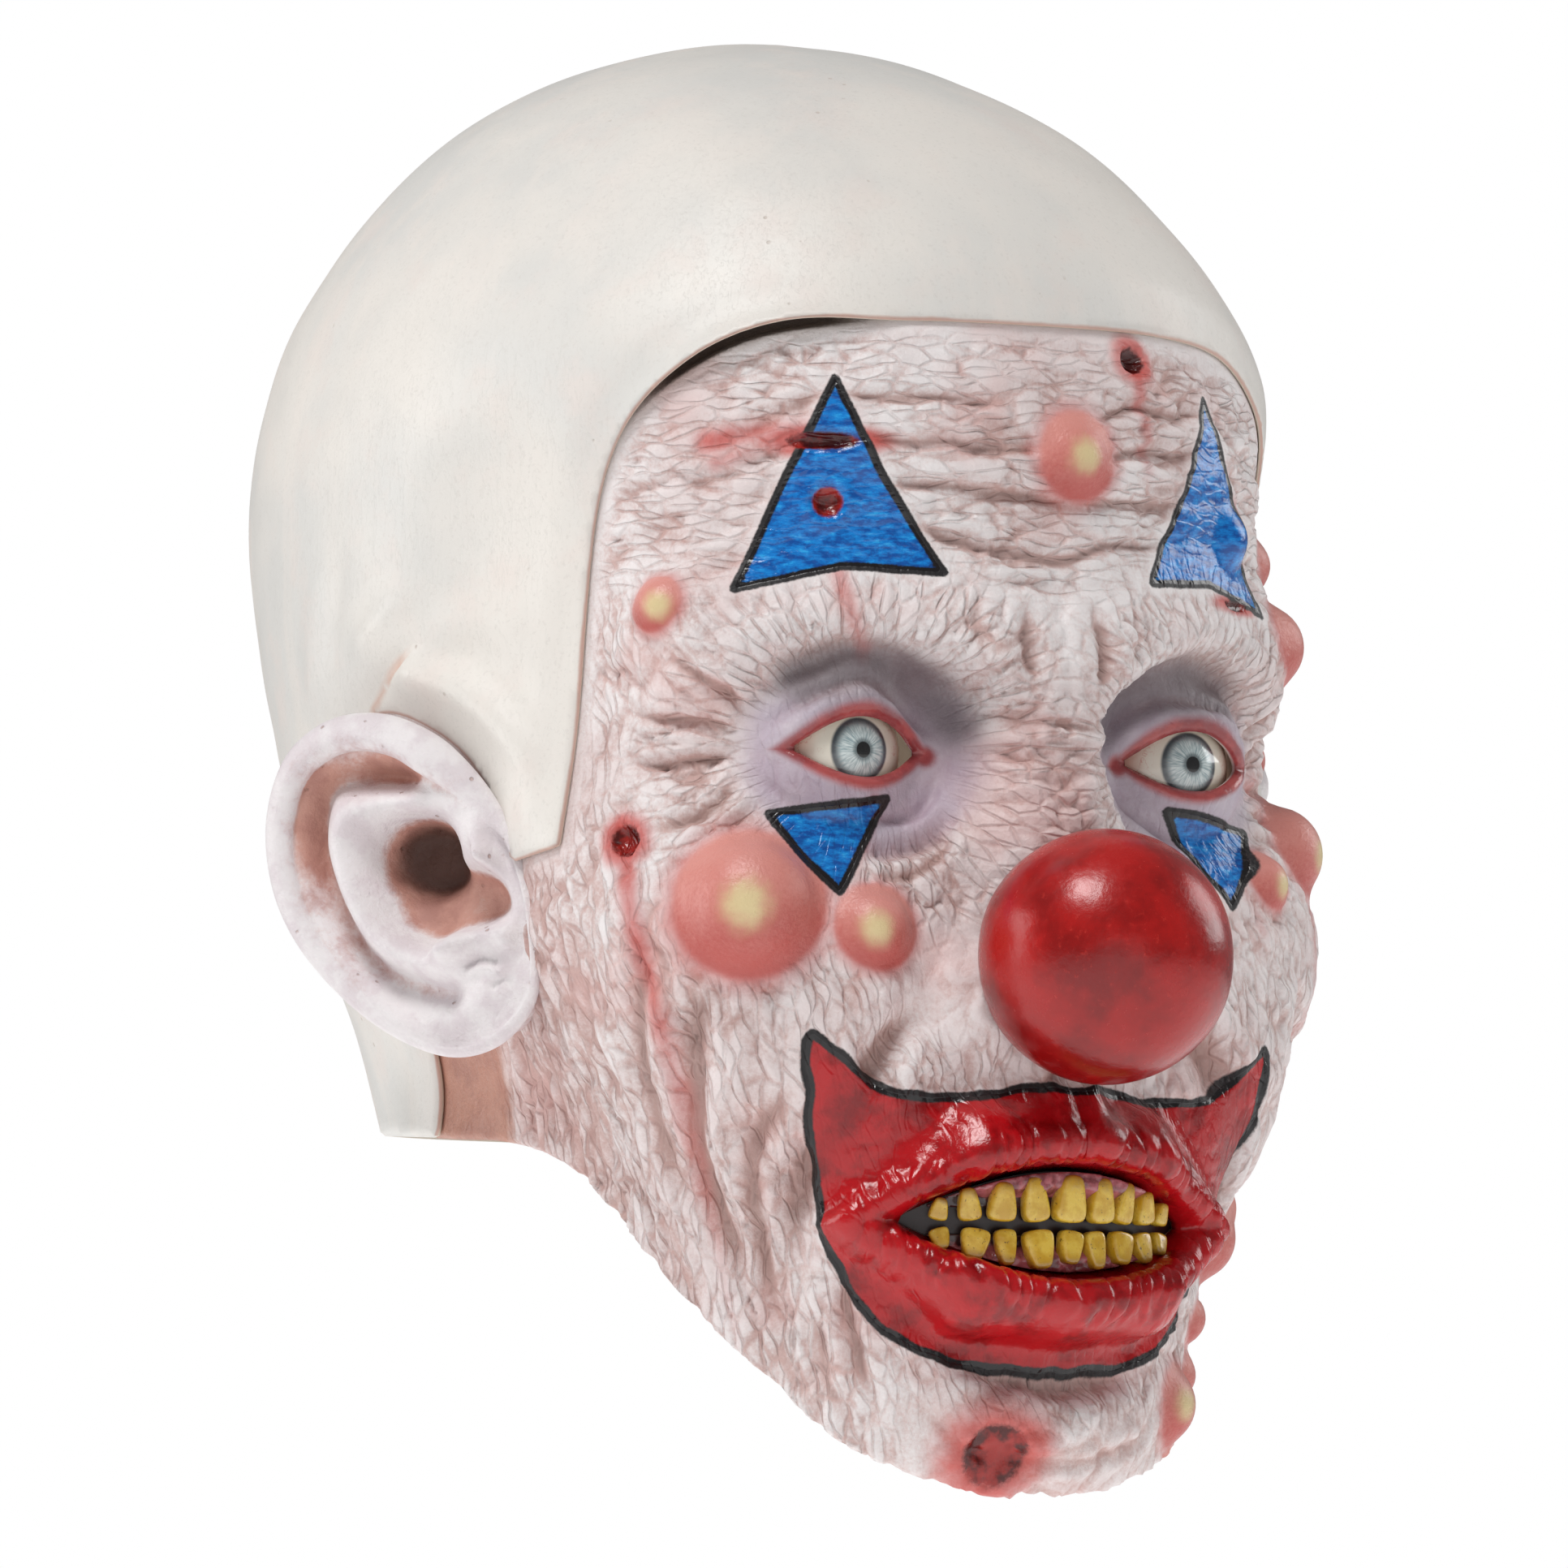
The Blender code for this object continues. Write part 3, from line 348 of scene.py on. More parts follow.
def reach_fine(field, azimuth, down, level=0.0):
    """Distances over a fine grid: a coarse grid first, spread over the fine one and then refined."""
    rows, columns = azimuth.shape
    some_rows = np.unique(np.append(np.arange(0, rows, COARSE_STEP), rows - 1))
    some_columns = np.unique(np.append(np.arange(0, columns, COARSE_STEP), columns - 1))
    picked = np.ix_(some_rows, some_columns)
    coarse = reach_far(field, azimuth[picked], down[picked], np.max(level))
    along = np.array([np.interp(np.arange(columns), some_columns, line) for line in coarse])
    full = np.array([np.interp(np.arange(rows), some_rows, line) for line in along.T]).T
    return reach_far(field, azimuth, down, level, full + 0.5, 14)


def down_at_height(azimuth, height):
    """How far down the head a ray has to be for its skin point to have that height."""
    low = np.full(azimuth.shape, 0.1 * TOP_ARC)
    high = np.full(azimuth.shape, TOP_ARC + SPINE_LENGTH + FOOT_ARC)
    for _ in range(20):
        middle = (low + high) / 2
        too_high = reach_skin(plain_face_distance, azimuth, middle)[..., 2] > height
        low = np.where(too_high, middle, low)
        high = np.where(too_high, high, middle)
    return (low + high) / 2


def place_boils():
    """Each boil with its centre and radius."""
    azimuth = np.radians(np.array([boil.azimuth for boil in BOILS], float))
    down = down_at_height(azimuth, np.array([boil.height for boil in BOILS], float))
    skin = reach_skin(plain_face_distance, azimuth, down)
    _, heading = ray(azimuth, down)
    radius = np.array([boil.radius for boil in BOILS])
    centre = skin - heading * (radius * [boil.sunk for boil in BOILS])[:, None]
    return [(boil, np.append(middle, boil.radius)) for boil, middle in zip(BOILS, centre)]


boil_places = place_boils()
CROWN = reach_skin(core_distance, np.zeros(1), np.zeros(1), LAP_GAP)[0][2]


def to_frame(points):
    """From millimetres above the chin to metres in the frame."""
    return (np.asarray(points, float) - (0.0, 0.0, CROWN)) * MM


# Outlines in the skin's own plane: across from the middle of the face and up from the chin, in mm

def azimuth_of(points):
    return np.arctan2(points[..., 0], -points[..., 1])


def ramp(value, low, high):
    """A soft step from 0 at low to 1 at high. Low may be the larger of the two."""
    share = np.clip((value - low) / (high - low), 0.0, 1.0)
    return share * share * (3.0 - 2.0 * share)


def on_skin(corners, lift=1.0):
    """A table of azimuths and heights as points in the skin's plane."""
    return [(math.radians(azimuth) * SKIN_RADIUS, height * lift) for azimuth, height in corners]


def inside_outline(across, up, corners):
    """Distance inside a closed outline, below zero outside it."""
    nearest = np.full(across.shape, 1e3)
    inside = np.zeros(across.shape, bool)
    for (x0, z0), (x1, z1) in zip(corners, corners[1:] + corners[:1]):
        length = (x1 - x0) ** 2 + (z1 - z0) ** 2
        along = np.clip(((across - x0) * (x1 - x0) + (up - z0) * (z1 - z0)) / length, 0.0, 1.0)
        gap = np.hypot(across - x0 - along * (x1 - x0), up - z0 - along * (z1 - z0))
        nearest = np.minimum(nearest, gap)
        if z1 != z0:
            crosses = ((z0 > up) != (z1 > up)) & (across < (x1 - x0) * (up - z0) / (z1 - z0) + x0)
            inside = inside ^ crosses
    return np.where(inside, nearest, -nearest)


def rounded(path, steps=6):
    """A smooth line through the points of a path."""
    points = [np.array(point, float) for point in path]
    points = [2 * points[0] - points[1]] + points + [2 * points[-1] - points[-2]]
    line = []
    for before, start, end, after in zip(points, points[1:], points[2:], points[3:]):
        for share in np.arange(steps) / steps:
            bend = (2 * before - 5 * start + 4 * end - after) * share ** 2
            swing = (3 * start - before - 3 * end + after) * share ** 3
            line.append(start + 0.5 * ((end - before) * share + bend + swing))
    return line + [points[-2]]


def near_path(across, up, path):
    """Distance to a smooth line through the points, and how far along it the nearest place is, from 0 to 1."""
    line = rounded(path)
    nearest = np.full(across.shape, 1e3)
    place = np.zeros(across.shape)
    for at, (start, end) in enumerate(zip(line, line[1:])):
        run = end - start
        along = np.clip(((across - start[0]) * run[0] + (up - start[1]) * run[1]) / (run @ run), 0.0, 1.0)
        gap = np.hypot(across - start[0] - along * run[0], up - start[1] - along * run[1])
        place = np.where(gap < nearest, (at + along) / (len(line) - 1), place)
        nearest = np.minimum(nearest, gap)
    return nearest, place


def eye_opening(points):
    """Above zero inside the almond between the lids."""
    across = (np.abs(points[..., 0]) - EYE_CENTRE[0]) / (EYE_WIDTH / 2)
    up = points[..., 2] - EYE_CENTRE[2]
    arch = 1.0 - across * across
    inside = np.minimum(UPPER_LID_OPENING * arch - up, up + LOWER_LID_OPENING * arch)
    return np.where(points[..., 1] < EYE_CENTRE[1], inside, -EYE_WIDTH)


def mouth_opening(points):
    """Above zero between the lips."""
    across = points[..., 0] / (MOUTH_WIDTH / 2)
    up = points[..., 2] - MOUTH_HEIGHT
    arch = 1.0 - across * across
    inside = np.minimum(UPPER_LIP_OPENING * arch - up, up + LOWER_LIP_OPENING * arch)
    return np.where(points[..., 1] < 0.0, inside, -MOUTH_WIDTH)


def above_rim(points):
    """Height above the open rim."""
    depths = np.array([row[0] for row in RIM]) * HEAD_DEPTH
    heights = np.array([row[1] for row in RIM]) * HEAD_HEIGHT
    spread = 0.25 * (depths[-1] - depths[0]) / len(depths)
    shifts = np.linspace(-1.0, 1.0, 5)
    rim = sum(np.interp(points[..., 1] + spread * shift, depths, heights) for shift in shifts) / len(shifts)
    return points[..., 2] - rim


def window_corners():
    """The cap's window as one outline: smooth stretches that meet at sharp corners."""
    girth = HEAD_WIDTH / 2
    corners = []
    for stretch in CAP_WINDOW:
        places = [(math.radians(azimuth) * girth, share * HEAD_HEIGHT) for azimuth, share in stretch]
        corners += [tuple(point) for point in rounded(places, 5)] if len(places) > 2 else places
    return corners


def inside_window(points):
    """Distance inside the cap's window, below zero where the cap lies."""
    return inside_outline(np.abs(azimuth_of(points)) * HEAD_WIDTH / 2, points[..., 2], WINDOW_CORNERS)


def face_keep(points):
    """The face skin: the cap's window and its lap, down to the rim, without eye and mouth openings."""
    kept = np.minimum(inside_window(points) + CAP_LAP, above_rim(points))
    return np.minimum(kept, np.minimum(-eye_opening(points), -mouth_opening(points)))


def cap_keep(points):
    """The bald cap: all outside the window, down to the rim."""
    return np.minimum(-inside_window(points), above_rim(points))


WINDOW_CORNERS = window_corners()


# Noise and wrinkles

def noise(across, up, seed):
    """Smooth random bumps about one unit wide, from about -1 to 1."""
    turn = np.random.default_rng(seed).uniform(0.0, 2 * math.pi, (64, 64))
    cell_x, cell_y = np.floor(across).astype(int), np.floor(up).astype(int)
    off_x, off_y = across - cell_x, up - cell_y
    ease_x = off_x ** 3 * (off_x * (off_x * 6 - 15) + 10)
    ease_y = off_y ** 3 * (off_y * (off_y * 6 - 15) + 10)
    total = np.zeros(across.shape)
    for step_x in (0, 1):
        for step_y in (0, 1):
            angle = turn[(cell_x + step_x) % 64, (cell_y + step_y) % 64]
            slope = np.cos(angle) * (off_x - step_x) + np.sin(angle) * (off_y - step_y)
            share = (ease_x if step_x else 1 - ease_x) * (ease_y if step_y else 1 - ease_y)
            total += share * slope
    return 1.5 * total


def lines(along, between, seed, wide=0.38):
    """Wandering creases, 1 at their bottom and 0 between them: where smooth noise changes sign."""
    return np.clip(1.0 - np.abs(noise(along, between, seed)) / wide, 0.0, 1.0) ** 1.8


def cells(first, second, seed, period=64):
    """Leathery creases, 1 along the edges of uneven cells about one unit wide and 0 inside them."""
    table = np.random.default_rng(seed).uniform(0.08, 0.92, (64, 64, 2))
    cell_x, cell_y = np.floor(first).astype(int), np.floor(second).astype(int)
    nearest = np.full(first.shape, 9.0)
    next_nearest = np.full(first.shape, 9.0)
    for step_x in (-1, 0, 1):
        for step_y in (-1, 0, 1):
            place = table[(cell_x + step_x) % period, (cell_y + step_y) % 64]
            gap = np.hypot(cell_x + step_x + place[..., 0] - first, cell_y + step_y + place[..., 1] - second)
            next_nearest = np.minimum(next_nearest, np.maximum(nearest, gap))
            nearest = np.minimum(nearest, gap)
    return np.clip(1.0 - (next_nearest - nearest) / 0.34, 0.0, 1.0) ** 1.4


# Own creases of the face, half of them. Columns: depth and half width in mm, then across and up of its points
Crease = namedtuple("Crease", "name depth width points")
CREASES = [
    Crease("brow_line_1", 1.30, 1.2, [(0, 181), (18, 183), (38, 185), (58, 180), (74, 172)]),
    Crease("brow_line_2", 1.50, 1.3, [(0, 190), (20, 192), (44, 193), (66, 187)]),
    Crease("brow_line_3", 1.30, 1.2, [(0, 199.5), (22, 201), (46, 201), (70, 193)]),
    Crease("brow_line_4", 1.10, 1.1, [(4, 208), (24, 209.5), (46, 208), (64, 202)]),
    Crease("frown_1", 2.20, 2.2, [(7, 155), (8.5, 163), (7.5, 173)]),
    Crease("frown_2", 0.80, 1.0, [(15, 160), (17, 167), (16, 175)]),
    Crease("bridge_line_1", 0.90, 1.0, [(0, 148), (8, 147), (15, 150)]),
    Crease("bridge_line_2", 0.70, 0.9, [(0, 142.5), (8, 141), (14, 143)]),
    Crease("lid_hollow", 3.40, 3.6, [(15, 146), (24, 156), (37, 161), (50, 158.5), (61, 149)]),
    Crease("lid_fold", 1.30, 1.2, [(19, 143), (25, 151), (37, 155.5), (49, 152), (57, 144)]),
    Crease("lid_fold_2", 0.70, 0.9, [(28, 156), (38, 159.5), (50, 157), (60, 149)]),
    Crease("bag_1", 1.60, 1.2, [(20, 139), (27, 132), (38, 129), (49, 131.5), (57, 138)]),
    Crease("bag_2", 2.20, 1.9, [(18, 135), (25, 127), (37, 123.5), (50, 126), (60, 133)]),
    Crease("bag_3", 1.20, 1.2, [(19, 130), (27, 121), (40, 118)]),
    Crease("crow_1", 1.30, 1.2, [(58, 149), (67, 155), (77, 163)]),
    Crease("crow_2", 1.50, 1.2, [(59, 145), (69, 148), (82, 152)]),
    Crease("crow_3", 1.50, 1.2, [(59, 141), (70, 140), (82, 140)]),
    Crease("crow_4", 1.30, 1.2, [(58, 137), (68, 132), (79, 128)]),
    Crease("crow_5", 0.80, 1.0, [(56, 133), (65, 126), (73, 119)]),
    Crease("smile_fold", 4.20, 3.6, [(23, 97), (31, 90), (39, 79), (46, 66), (50, 53), (49, 41)]),
    Crease("smile_fold_2", 2.60, 2.6, [(50, 84), (56, 70), (58, 56), (55, 42), (49, 31)]),
    Crease("cheek_line_1", 2.60, 2.8, [(62, 104), (68, 86), (69, 68), (64, 50), (56, 36)]),
    Crease("cheek_line_2", 2.00, 2.2, [(75, 106), (79, 90), (77, 72), (70, 56)]),
    Crease("cheek_line_3", 0.80, 1.2, [(88, 104), (90, 92), (87, 80)]),
    Crease("mouth_line", 1.80, 1.5, [(37, 48), (40, 38), (38, 29), (33, 21)]),
    Crease("mouth_line_2", 0.90, 1.1, [(45, 36), (44, 27), (39, 18)]),
    Crease("chin_line", 2.60, 2.8, [(0, 26), (12, 27.5), (23, 31)]),
    Crease("chin_line_2", 0.80, 1.2, [(0, 8), (10, 9.5), (22, 15), (30, 24)]),
    Crease("lip_groove", -0.90, 1.2, [(4.5, 86), (5.0, 80), (6.5, 75)]),
]


def wrinkle_relief(across, up):
    """The skin's relief in mm, and how deep in a crease each place is, from 0 to 1."""
    wander = 2.2 * noise(across / 19, up / 19, 3), 2.2 * noise(across / 17 + 9, up / 17, 4)
    side = np.abs(across + wander[0])
    level = up + wander[1]
    relief = np.zeros(across.shape)
    cavity = np.zeros(across.shape)
    for crease in CREASES:
        gap, place = near_path(side, level, crease.points)
        open_ended = crease.points[0][0] == 0
        fade = np.clip((1.0 - place) / 0.3, 0.0, 1.0) * (1.0 if open_ended else np.clip(place / 0.2, 0.0, 1.0))
        cut = np.exp(-(gap / crease.width) ** 2) * fade
        bank = np.exp(-((gap - 2.3 * crease.width) / (1.3 * crease.width)) ** 2) * fade
        relief += crease.depth * (0.32 * bank - cut)
        cavity = np.maximum(cavity, cut * min(1.0, abs(crease.depth) / 1.1))
    eye = np.hypot(side - 37.0, (level - EYE_CENTRE[2]) * 1.15)
    turn = np.arctan2(level - EYE_CENTRE[2], side - 37.0)
    mouth = np.hypot(side, (level - MOUTH_HEIGHT) * 1.25)
    mouth_turn = np.arctan2((level - MOUTH_HEIGHT) * 1.25, side)
    fan = ramp(eye, 17, 22) * (1.0 - ramp(eye, 36, 52))
    brow = ramp(level, 166, 180) * (1.0 - fan)
    round_mouth = ramp(mouth, 26, 32) * (1.0 - ramp(mouth, 42, 54)) * (1.0 - fan)
    cheek = np.clip(1.0 - fan - brow - round_mouth, 0.0, 1.0) * ramp(side, 20, 40)
    rest = np.clip(1.0 - fan - brow - round_mouth - cheek, 0.0, 1.0)
    sets = [
        (fan, turn * 32 / math.pi, eye / 9.0, 1.05),
        (brow, across / 13.0, up / 4.6, 1.10),
        (round_mouth, mouth_turn * 8.0, mouth / 9.0, 1.00),
        (cheek, (across + 0.22 * up) / 5.0, up / 13.0, 1.25),
        (rest, across / 6.0, up / 6.0, 0.90),
    ]
    leather = 0.6 * noise(across / 9, up / 9, 31) + 0.2 * noise(across / 3.3, up / 3.3, 32)
    for seed, (weight, first, second, depth) in enumerate(sets):
        strength = 0.75 + 0.5 * noise(across / 21, up / 21, 50 + seed)
        for octave, (scale, share) in enumerate(((1.0, 0.75), (0.5, 1.0))):
            bent = 0.40 * noise(first, second, 40 + seed)
            found = strength * cells(first * scale + bent, second * scale + bent, 10 + 2 * seed + octave,
                                     int(64 * scale))
            leather -= weight * depth * share * found
            cavity = np.maximum(cavity, weight * 0.75 * share * found)
    return relief, leather, cavity, fan, brow, cheek + round_mouth


# Meshes from grids of rays

def neighbour(values, step_row, step_column, closed):
    """The values one step away in the grid, and which of them exist."""
    moved = np.roll(values, (-step_row, -step_column), (0, 1))
    real = np.ones(values.shape, bool)
    if step_row:
        real[-1 if step_row > 0 else 0, :] = False
    if step_column and not closed:
        real[:, -1 if step_column > 0 else 0] = False
    return moved, real


def snap_to_outline(azimuth, down, side, closed):
    """Moves the grid points nearest to the outline onto it, and marks them with 0."""
    best = np.full(side.shape, 2.0)
    new_azimuth = azimuth.copy()
    new_down = down.copy()
    for step in ((0, 1), (0, -1), (1, 0), (-1, 0)):
        other, real = neighbour(side, *step, closed)
        crossing = real & (side * other < 0.0)
        share = np.where(crossing, side / np.where(crossing, side - other, 1.0), 2.0)
        turn = neighbour(azimuth, *step, closed)[0] - azimuth
        turn = (turn + math.pi) % (2 * math.pi) - math.pi
        fall = neighbour(down, *step, closed)[0] - down
        take = (share <= 0.5) & (share < best)
        best = np.where(take, share, best)
        new_azimuth = np.where(take, azimuth + share * turn, new_azimuth)
        new_down = np.where(take, down + share * fall, new_down)
    return new_azimuth, new_down, np.where(best <= 0.5, 0.0, side)


def kept_faces(side, closed):
    """The grid's quads, or halves of them, on the kept side of the outline."""
    rows, columns = side.shape
    index = np.arange(rows * columns).reshape(rows, columns)
    right = np.roll(index, -1, 1)
    corners = np.stack([index[:-1], index[1:], right[1:], right[:-1]], -1)
    if not closed:
        corners = corners[:, :-1]
    corners = corners.reshape(-1, 4)
    value = side.ravel()[corners]
    whole = (value.min(1) >= 0.0) & (value.max(1) > 0.0)
    half = (value.min(1) < 0.0) & (value.max(1) > 0.0) & ((value == 0.0).sum(1) == 2)
    faces = corners[whole].tolist()
    for four, best in zip(corners[half].tolist(), value[half].argmax(1)):
        faces.append([four[best - 1], four[best], four[(best + 1) % 4]])
    return faces


def grid_normals(points, closed):
    """Outward directions over a grid of points."""
    if closed:
        wide = np.concatenate([points[:, -1:], points, points[:, :1]], 1)
        across = np.gradient(wide, axis=1)[:, 1:-1]
    else:
        across = np.gradient(points, axis=1)
    fall = np.gradient(points, axis=0)
    normal = np.cross(fall, across)
    return normal / np.maximum(np.linalg.norm(normal, axis=-1, keepdims=True), 1e-9)


def set_values(mesh, values):
    """Stores named values on the mesh's points."""
    for name, value in values.items():
        layer = mesh.attributes.new(name, "FLOAT", "POINT")
        layer.data.foreach_set("value", np.ascontiguousarray(value, np.float32))


def add_piece(name, mesh, finish, *nodes, smooth=180):
    """Links a finished mesh, gives it its material and lets it stand for CAD nodes."""
    made = bpy.data.objects.new(name, mesh)
    bpy.context.scene.collection.objects.link(made)
    return finish_piece(made, finish, *nodes, smooth=smooth)


def finish_piece(made, finish, *nodes, smooth=180):
    made.data.materials.clear()
    made.data.materials.append(finish)
    made.data.shade_smooth()
    if smooth < 180:
        made.data.set_sharp_from_angle(angle=math.radians(smooth))
    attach(made, "root")
    if nodes:
        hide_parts(*nodes)
    return made


def walled_mesh(name, outer, inner, faces, values, thin=None):
    """One closed mesh from an outer and an inner sheet. The inner one is thinned out where nobody sees it."""
    used = np.unique(np.concatenate([np.array(face) for face in faces]))
    order = np.full(len(outer), -1)
    order[used] = np.arange(len(used))
    count = len(used)
    front = [order[face].tolist() for face in faces]
    edges = set()
    for face in front:
        edges.update(zip(face, face[1:] + face[:1]))
    walls = [[b, a, a + count, b + count] for a, b in edges if (b, a) not in edges]
    back = [[corner + count for corner in reversed(face)] for face in front]
    mesh = bpy.data.meshes.new(name)
    points = to_frame(np.concatenate([outer[used], inner[used]]))
    mesh.from_pydata(points.tolist(), [], front + back + walls)
    mesh.update()
    both = {key: np.concatenate([value[used], np.zeros(count)]) for key, value in values.items()}
    both["inside"] = np.concatenate([np.zeros(count), np.ones(count)])
    set_values(mesh, both)
    if thin:
        edge = {corner for wall in walls for corner in wall}
        thin_out(mesh, [at for at in range(count, 2 * count) if at not in edge], thin)
    return mesh


def thin_out(mesh, points, share):
    """Keeps only that share of the faces round some of the points."""
    made = bpy.data.objects.new("thinning", mesh)
    bpy.context.scene.collection.objects.link(made)
    bpy.ops.object.select_all(action="DESELECT")
    bpy.context.view_layer.objects.active = made
    made.select_set(True)
    picked = np.zeros(len(mesh.vertices), bool)
    picked[points] = True
    bpy.ops.object.mode_set(mode="EDIT")
    bpy.ops.mesh.select_mode(type="VERT")
    bpy.ops.mesh.select_all(action="DESELECT")
    bpy.ops.object.mode_set(mode="OBJECT")
    mesh.vertices.foreach_set("select", picked)
    bpy.ops.object.mode_set(mode="EDIT")
    bpy.ops.mesh.decimate(ratio=share)
    bpy.ops.object.mode_set(mode="OBJECT")
    bpy.data.objects.remove(made)


# Finishes

class Value:
    """What comes out of a shader node, with the usual arithmetic."""

    def __init__(self, finish, socket):
        self.finish = finish
        self.socket = socket

    def maths(self, operation, first, second):
        return self.finish.node("ShaderNodeMath", {"operation": operation}, {0: first, 1: second})

    def __add__(self, other):
        return self.maths("ADD", self, other)

    def __radd__(self, other):
        return self.maths("ADD", other, self)

    def __sub__(self, other):
        return self.maths("SUBTRACT", self, other)

    def __rsub__(self, other):
        return self.maths("SUBTRACT", other, self)

    def __mul__(self, other):
        return self.maths("MULTIPLY", self, other)

    def __rmul__(self, other):
        return self.maths("MULTIPLY", other, self)

    def highest(self, other):
        return self.maths("MAXIMUM", self, other)

    def size(self):
        return self.maths("ABSOLUTE", self, 0.0)

    def ramp(self, low, high):
        """A soft step from 0 at low to 1 at high."""
        settings = {"interpolation_type": "SMOOTHSTEP"}
        if low > high:
            ends = {"Value": self, "From Min": high, "From Max": low, "To Min": 1.0, "To Max": 0.0}
        else:
            ends = {"Value": self, "From Min": low, "From Max": high}
        return self.finish.node("ShaderNodeMapRange", settings, ends)


class Finish:
    """A material on a Principled shader, built up from nodes."""

    def __init__(self, name, **constants):
        self.material = bpy.data.materials.new(name)
        self.material.use_nodes = True
        self.tree = self.material.node_tree
        self.shader = self.tree.nodes["Principled BSDF"]
        for socket, value in constants.items():
            self.feed(self.shader.inputs[socket.replace("_", " ")], value)
        self.place = self.node("ShaderNodeTexCoord", {}, {}, "Object")

    def node(self, kind, settings, inputs, output=0):
        """Adds a node with its settings and what feeds its sockets, and returns one of its outputs."""
        made = self.tree.nodes.new(kind)
        for name, value in settings.items():
            setattr(made, name, value)
        for name, value in inputs.items():
            self.feed(made.inputs[name], value)
        return Value(self, made.outputs[output])

    def feed(self, socket, value):
        if isinstance(value, Value):
            self.tree.links.new(value.socket, socket)
        elif socket.type == "RGBA":
            socket.default_value = (*value, 1.0)
        else:
            socket.default_value = value

    def layer(self, name):
        """A value stored on the mesh's points."""
        return self.node("ShaderNodeAttribute", {"attribute_name": name}, {}, "Fac")

    def vector(self, x, y, z):
        return self.node("ShaderNodeCombineXYZ", {}, {"X": x, "Y": y, "Z": z})

    def axis(self, name):
        """One coordinate of the place, in mm."""
        return 1000.0 * self.node("ShaderNodeSeparateXYZ", {}, {"Vector": self.place}, name)

    def noise(self, scale, place=None, detail=3.0, roughness=0.55):
        feeds = {"Vector": place or self.place, "Scale": scale, "Detail": detail, "Roughness": roughness}
        return self.node("ShaderNodeTexNoise", {}, feeds)

    def spots(self, scale, place=None):
        """Distance to the nearest of many scattered points."""
        return self.node("ShaderNodeTexVoronoi", {}, {"Vector": place or self.place, "Scale": scale}, "Distance")

    def cracks(self, place):
        """1 along the edges of scattered cells, and 0 inside them."""
        feeds = {"Vector": place, "Scale": 1.0}
        return self.node("ShaderNodeTexVoronoi", {"feature": "DISTANCE_TO_EDGE"}, feeds, "Distance").ramp(0.16, 0.0)

    def mix(self, share, first, second):
        """The first colour, covered by the second where share is 1."""
        return self.node("ShaderNodeMix", {"data_type": "RGBA"}, {"Factor": share, 6: first, 7: second}, 2)

    def surface(self, colour, roughness, height=None, bump=1.0, depth=0.001):
        self.feed(self.shader.inputs["Base Color"], colour)
        self.feed(self.shader.inputs["Roughness"], roughness)
        if height is not None:
            feeds = {"Height": height, "Strength": bump, "Distance": depth}
            self.feed(self.shader.inputs["Normal"], self.node("ShaderNodeBump", {}, feeds))
        return self.material


def fine_cracks(finish):
    """Fine creases that run level on the forehead, fan out round the eyes and fall upright on the cheeks."""
    sway = (finish.noise(70.0, None, 2.0) - 0.5) * 5.0
    across, up = finish.layer("across") + sway, finish.axis("Z") + sway
    fan = finish.vector(finish.layer("turn_x") * 12.0 + sway * 0.2, finish.layer("turn_y") * 12.0,
                        finish.layer("eye_far") * 0.17 + sway * 0.1)
    level = finish.vector(across * 0.15, up * 0.46, 0.0)
    upright = finish.vector((across + up * 0.22) * 0.42, up * 0.16, 3.0)
    total = 0.0
    for place, weight in ((fan, "fan_lines"), (level, "level_lines"), (upright, "upright_lines")):
        total = total + finish.cracks(place) * finish.layer(weight)
    return total


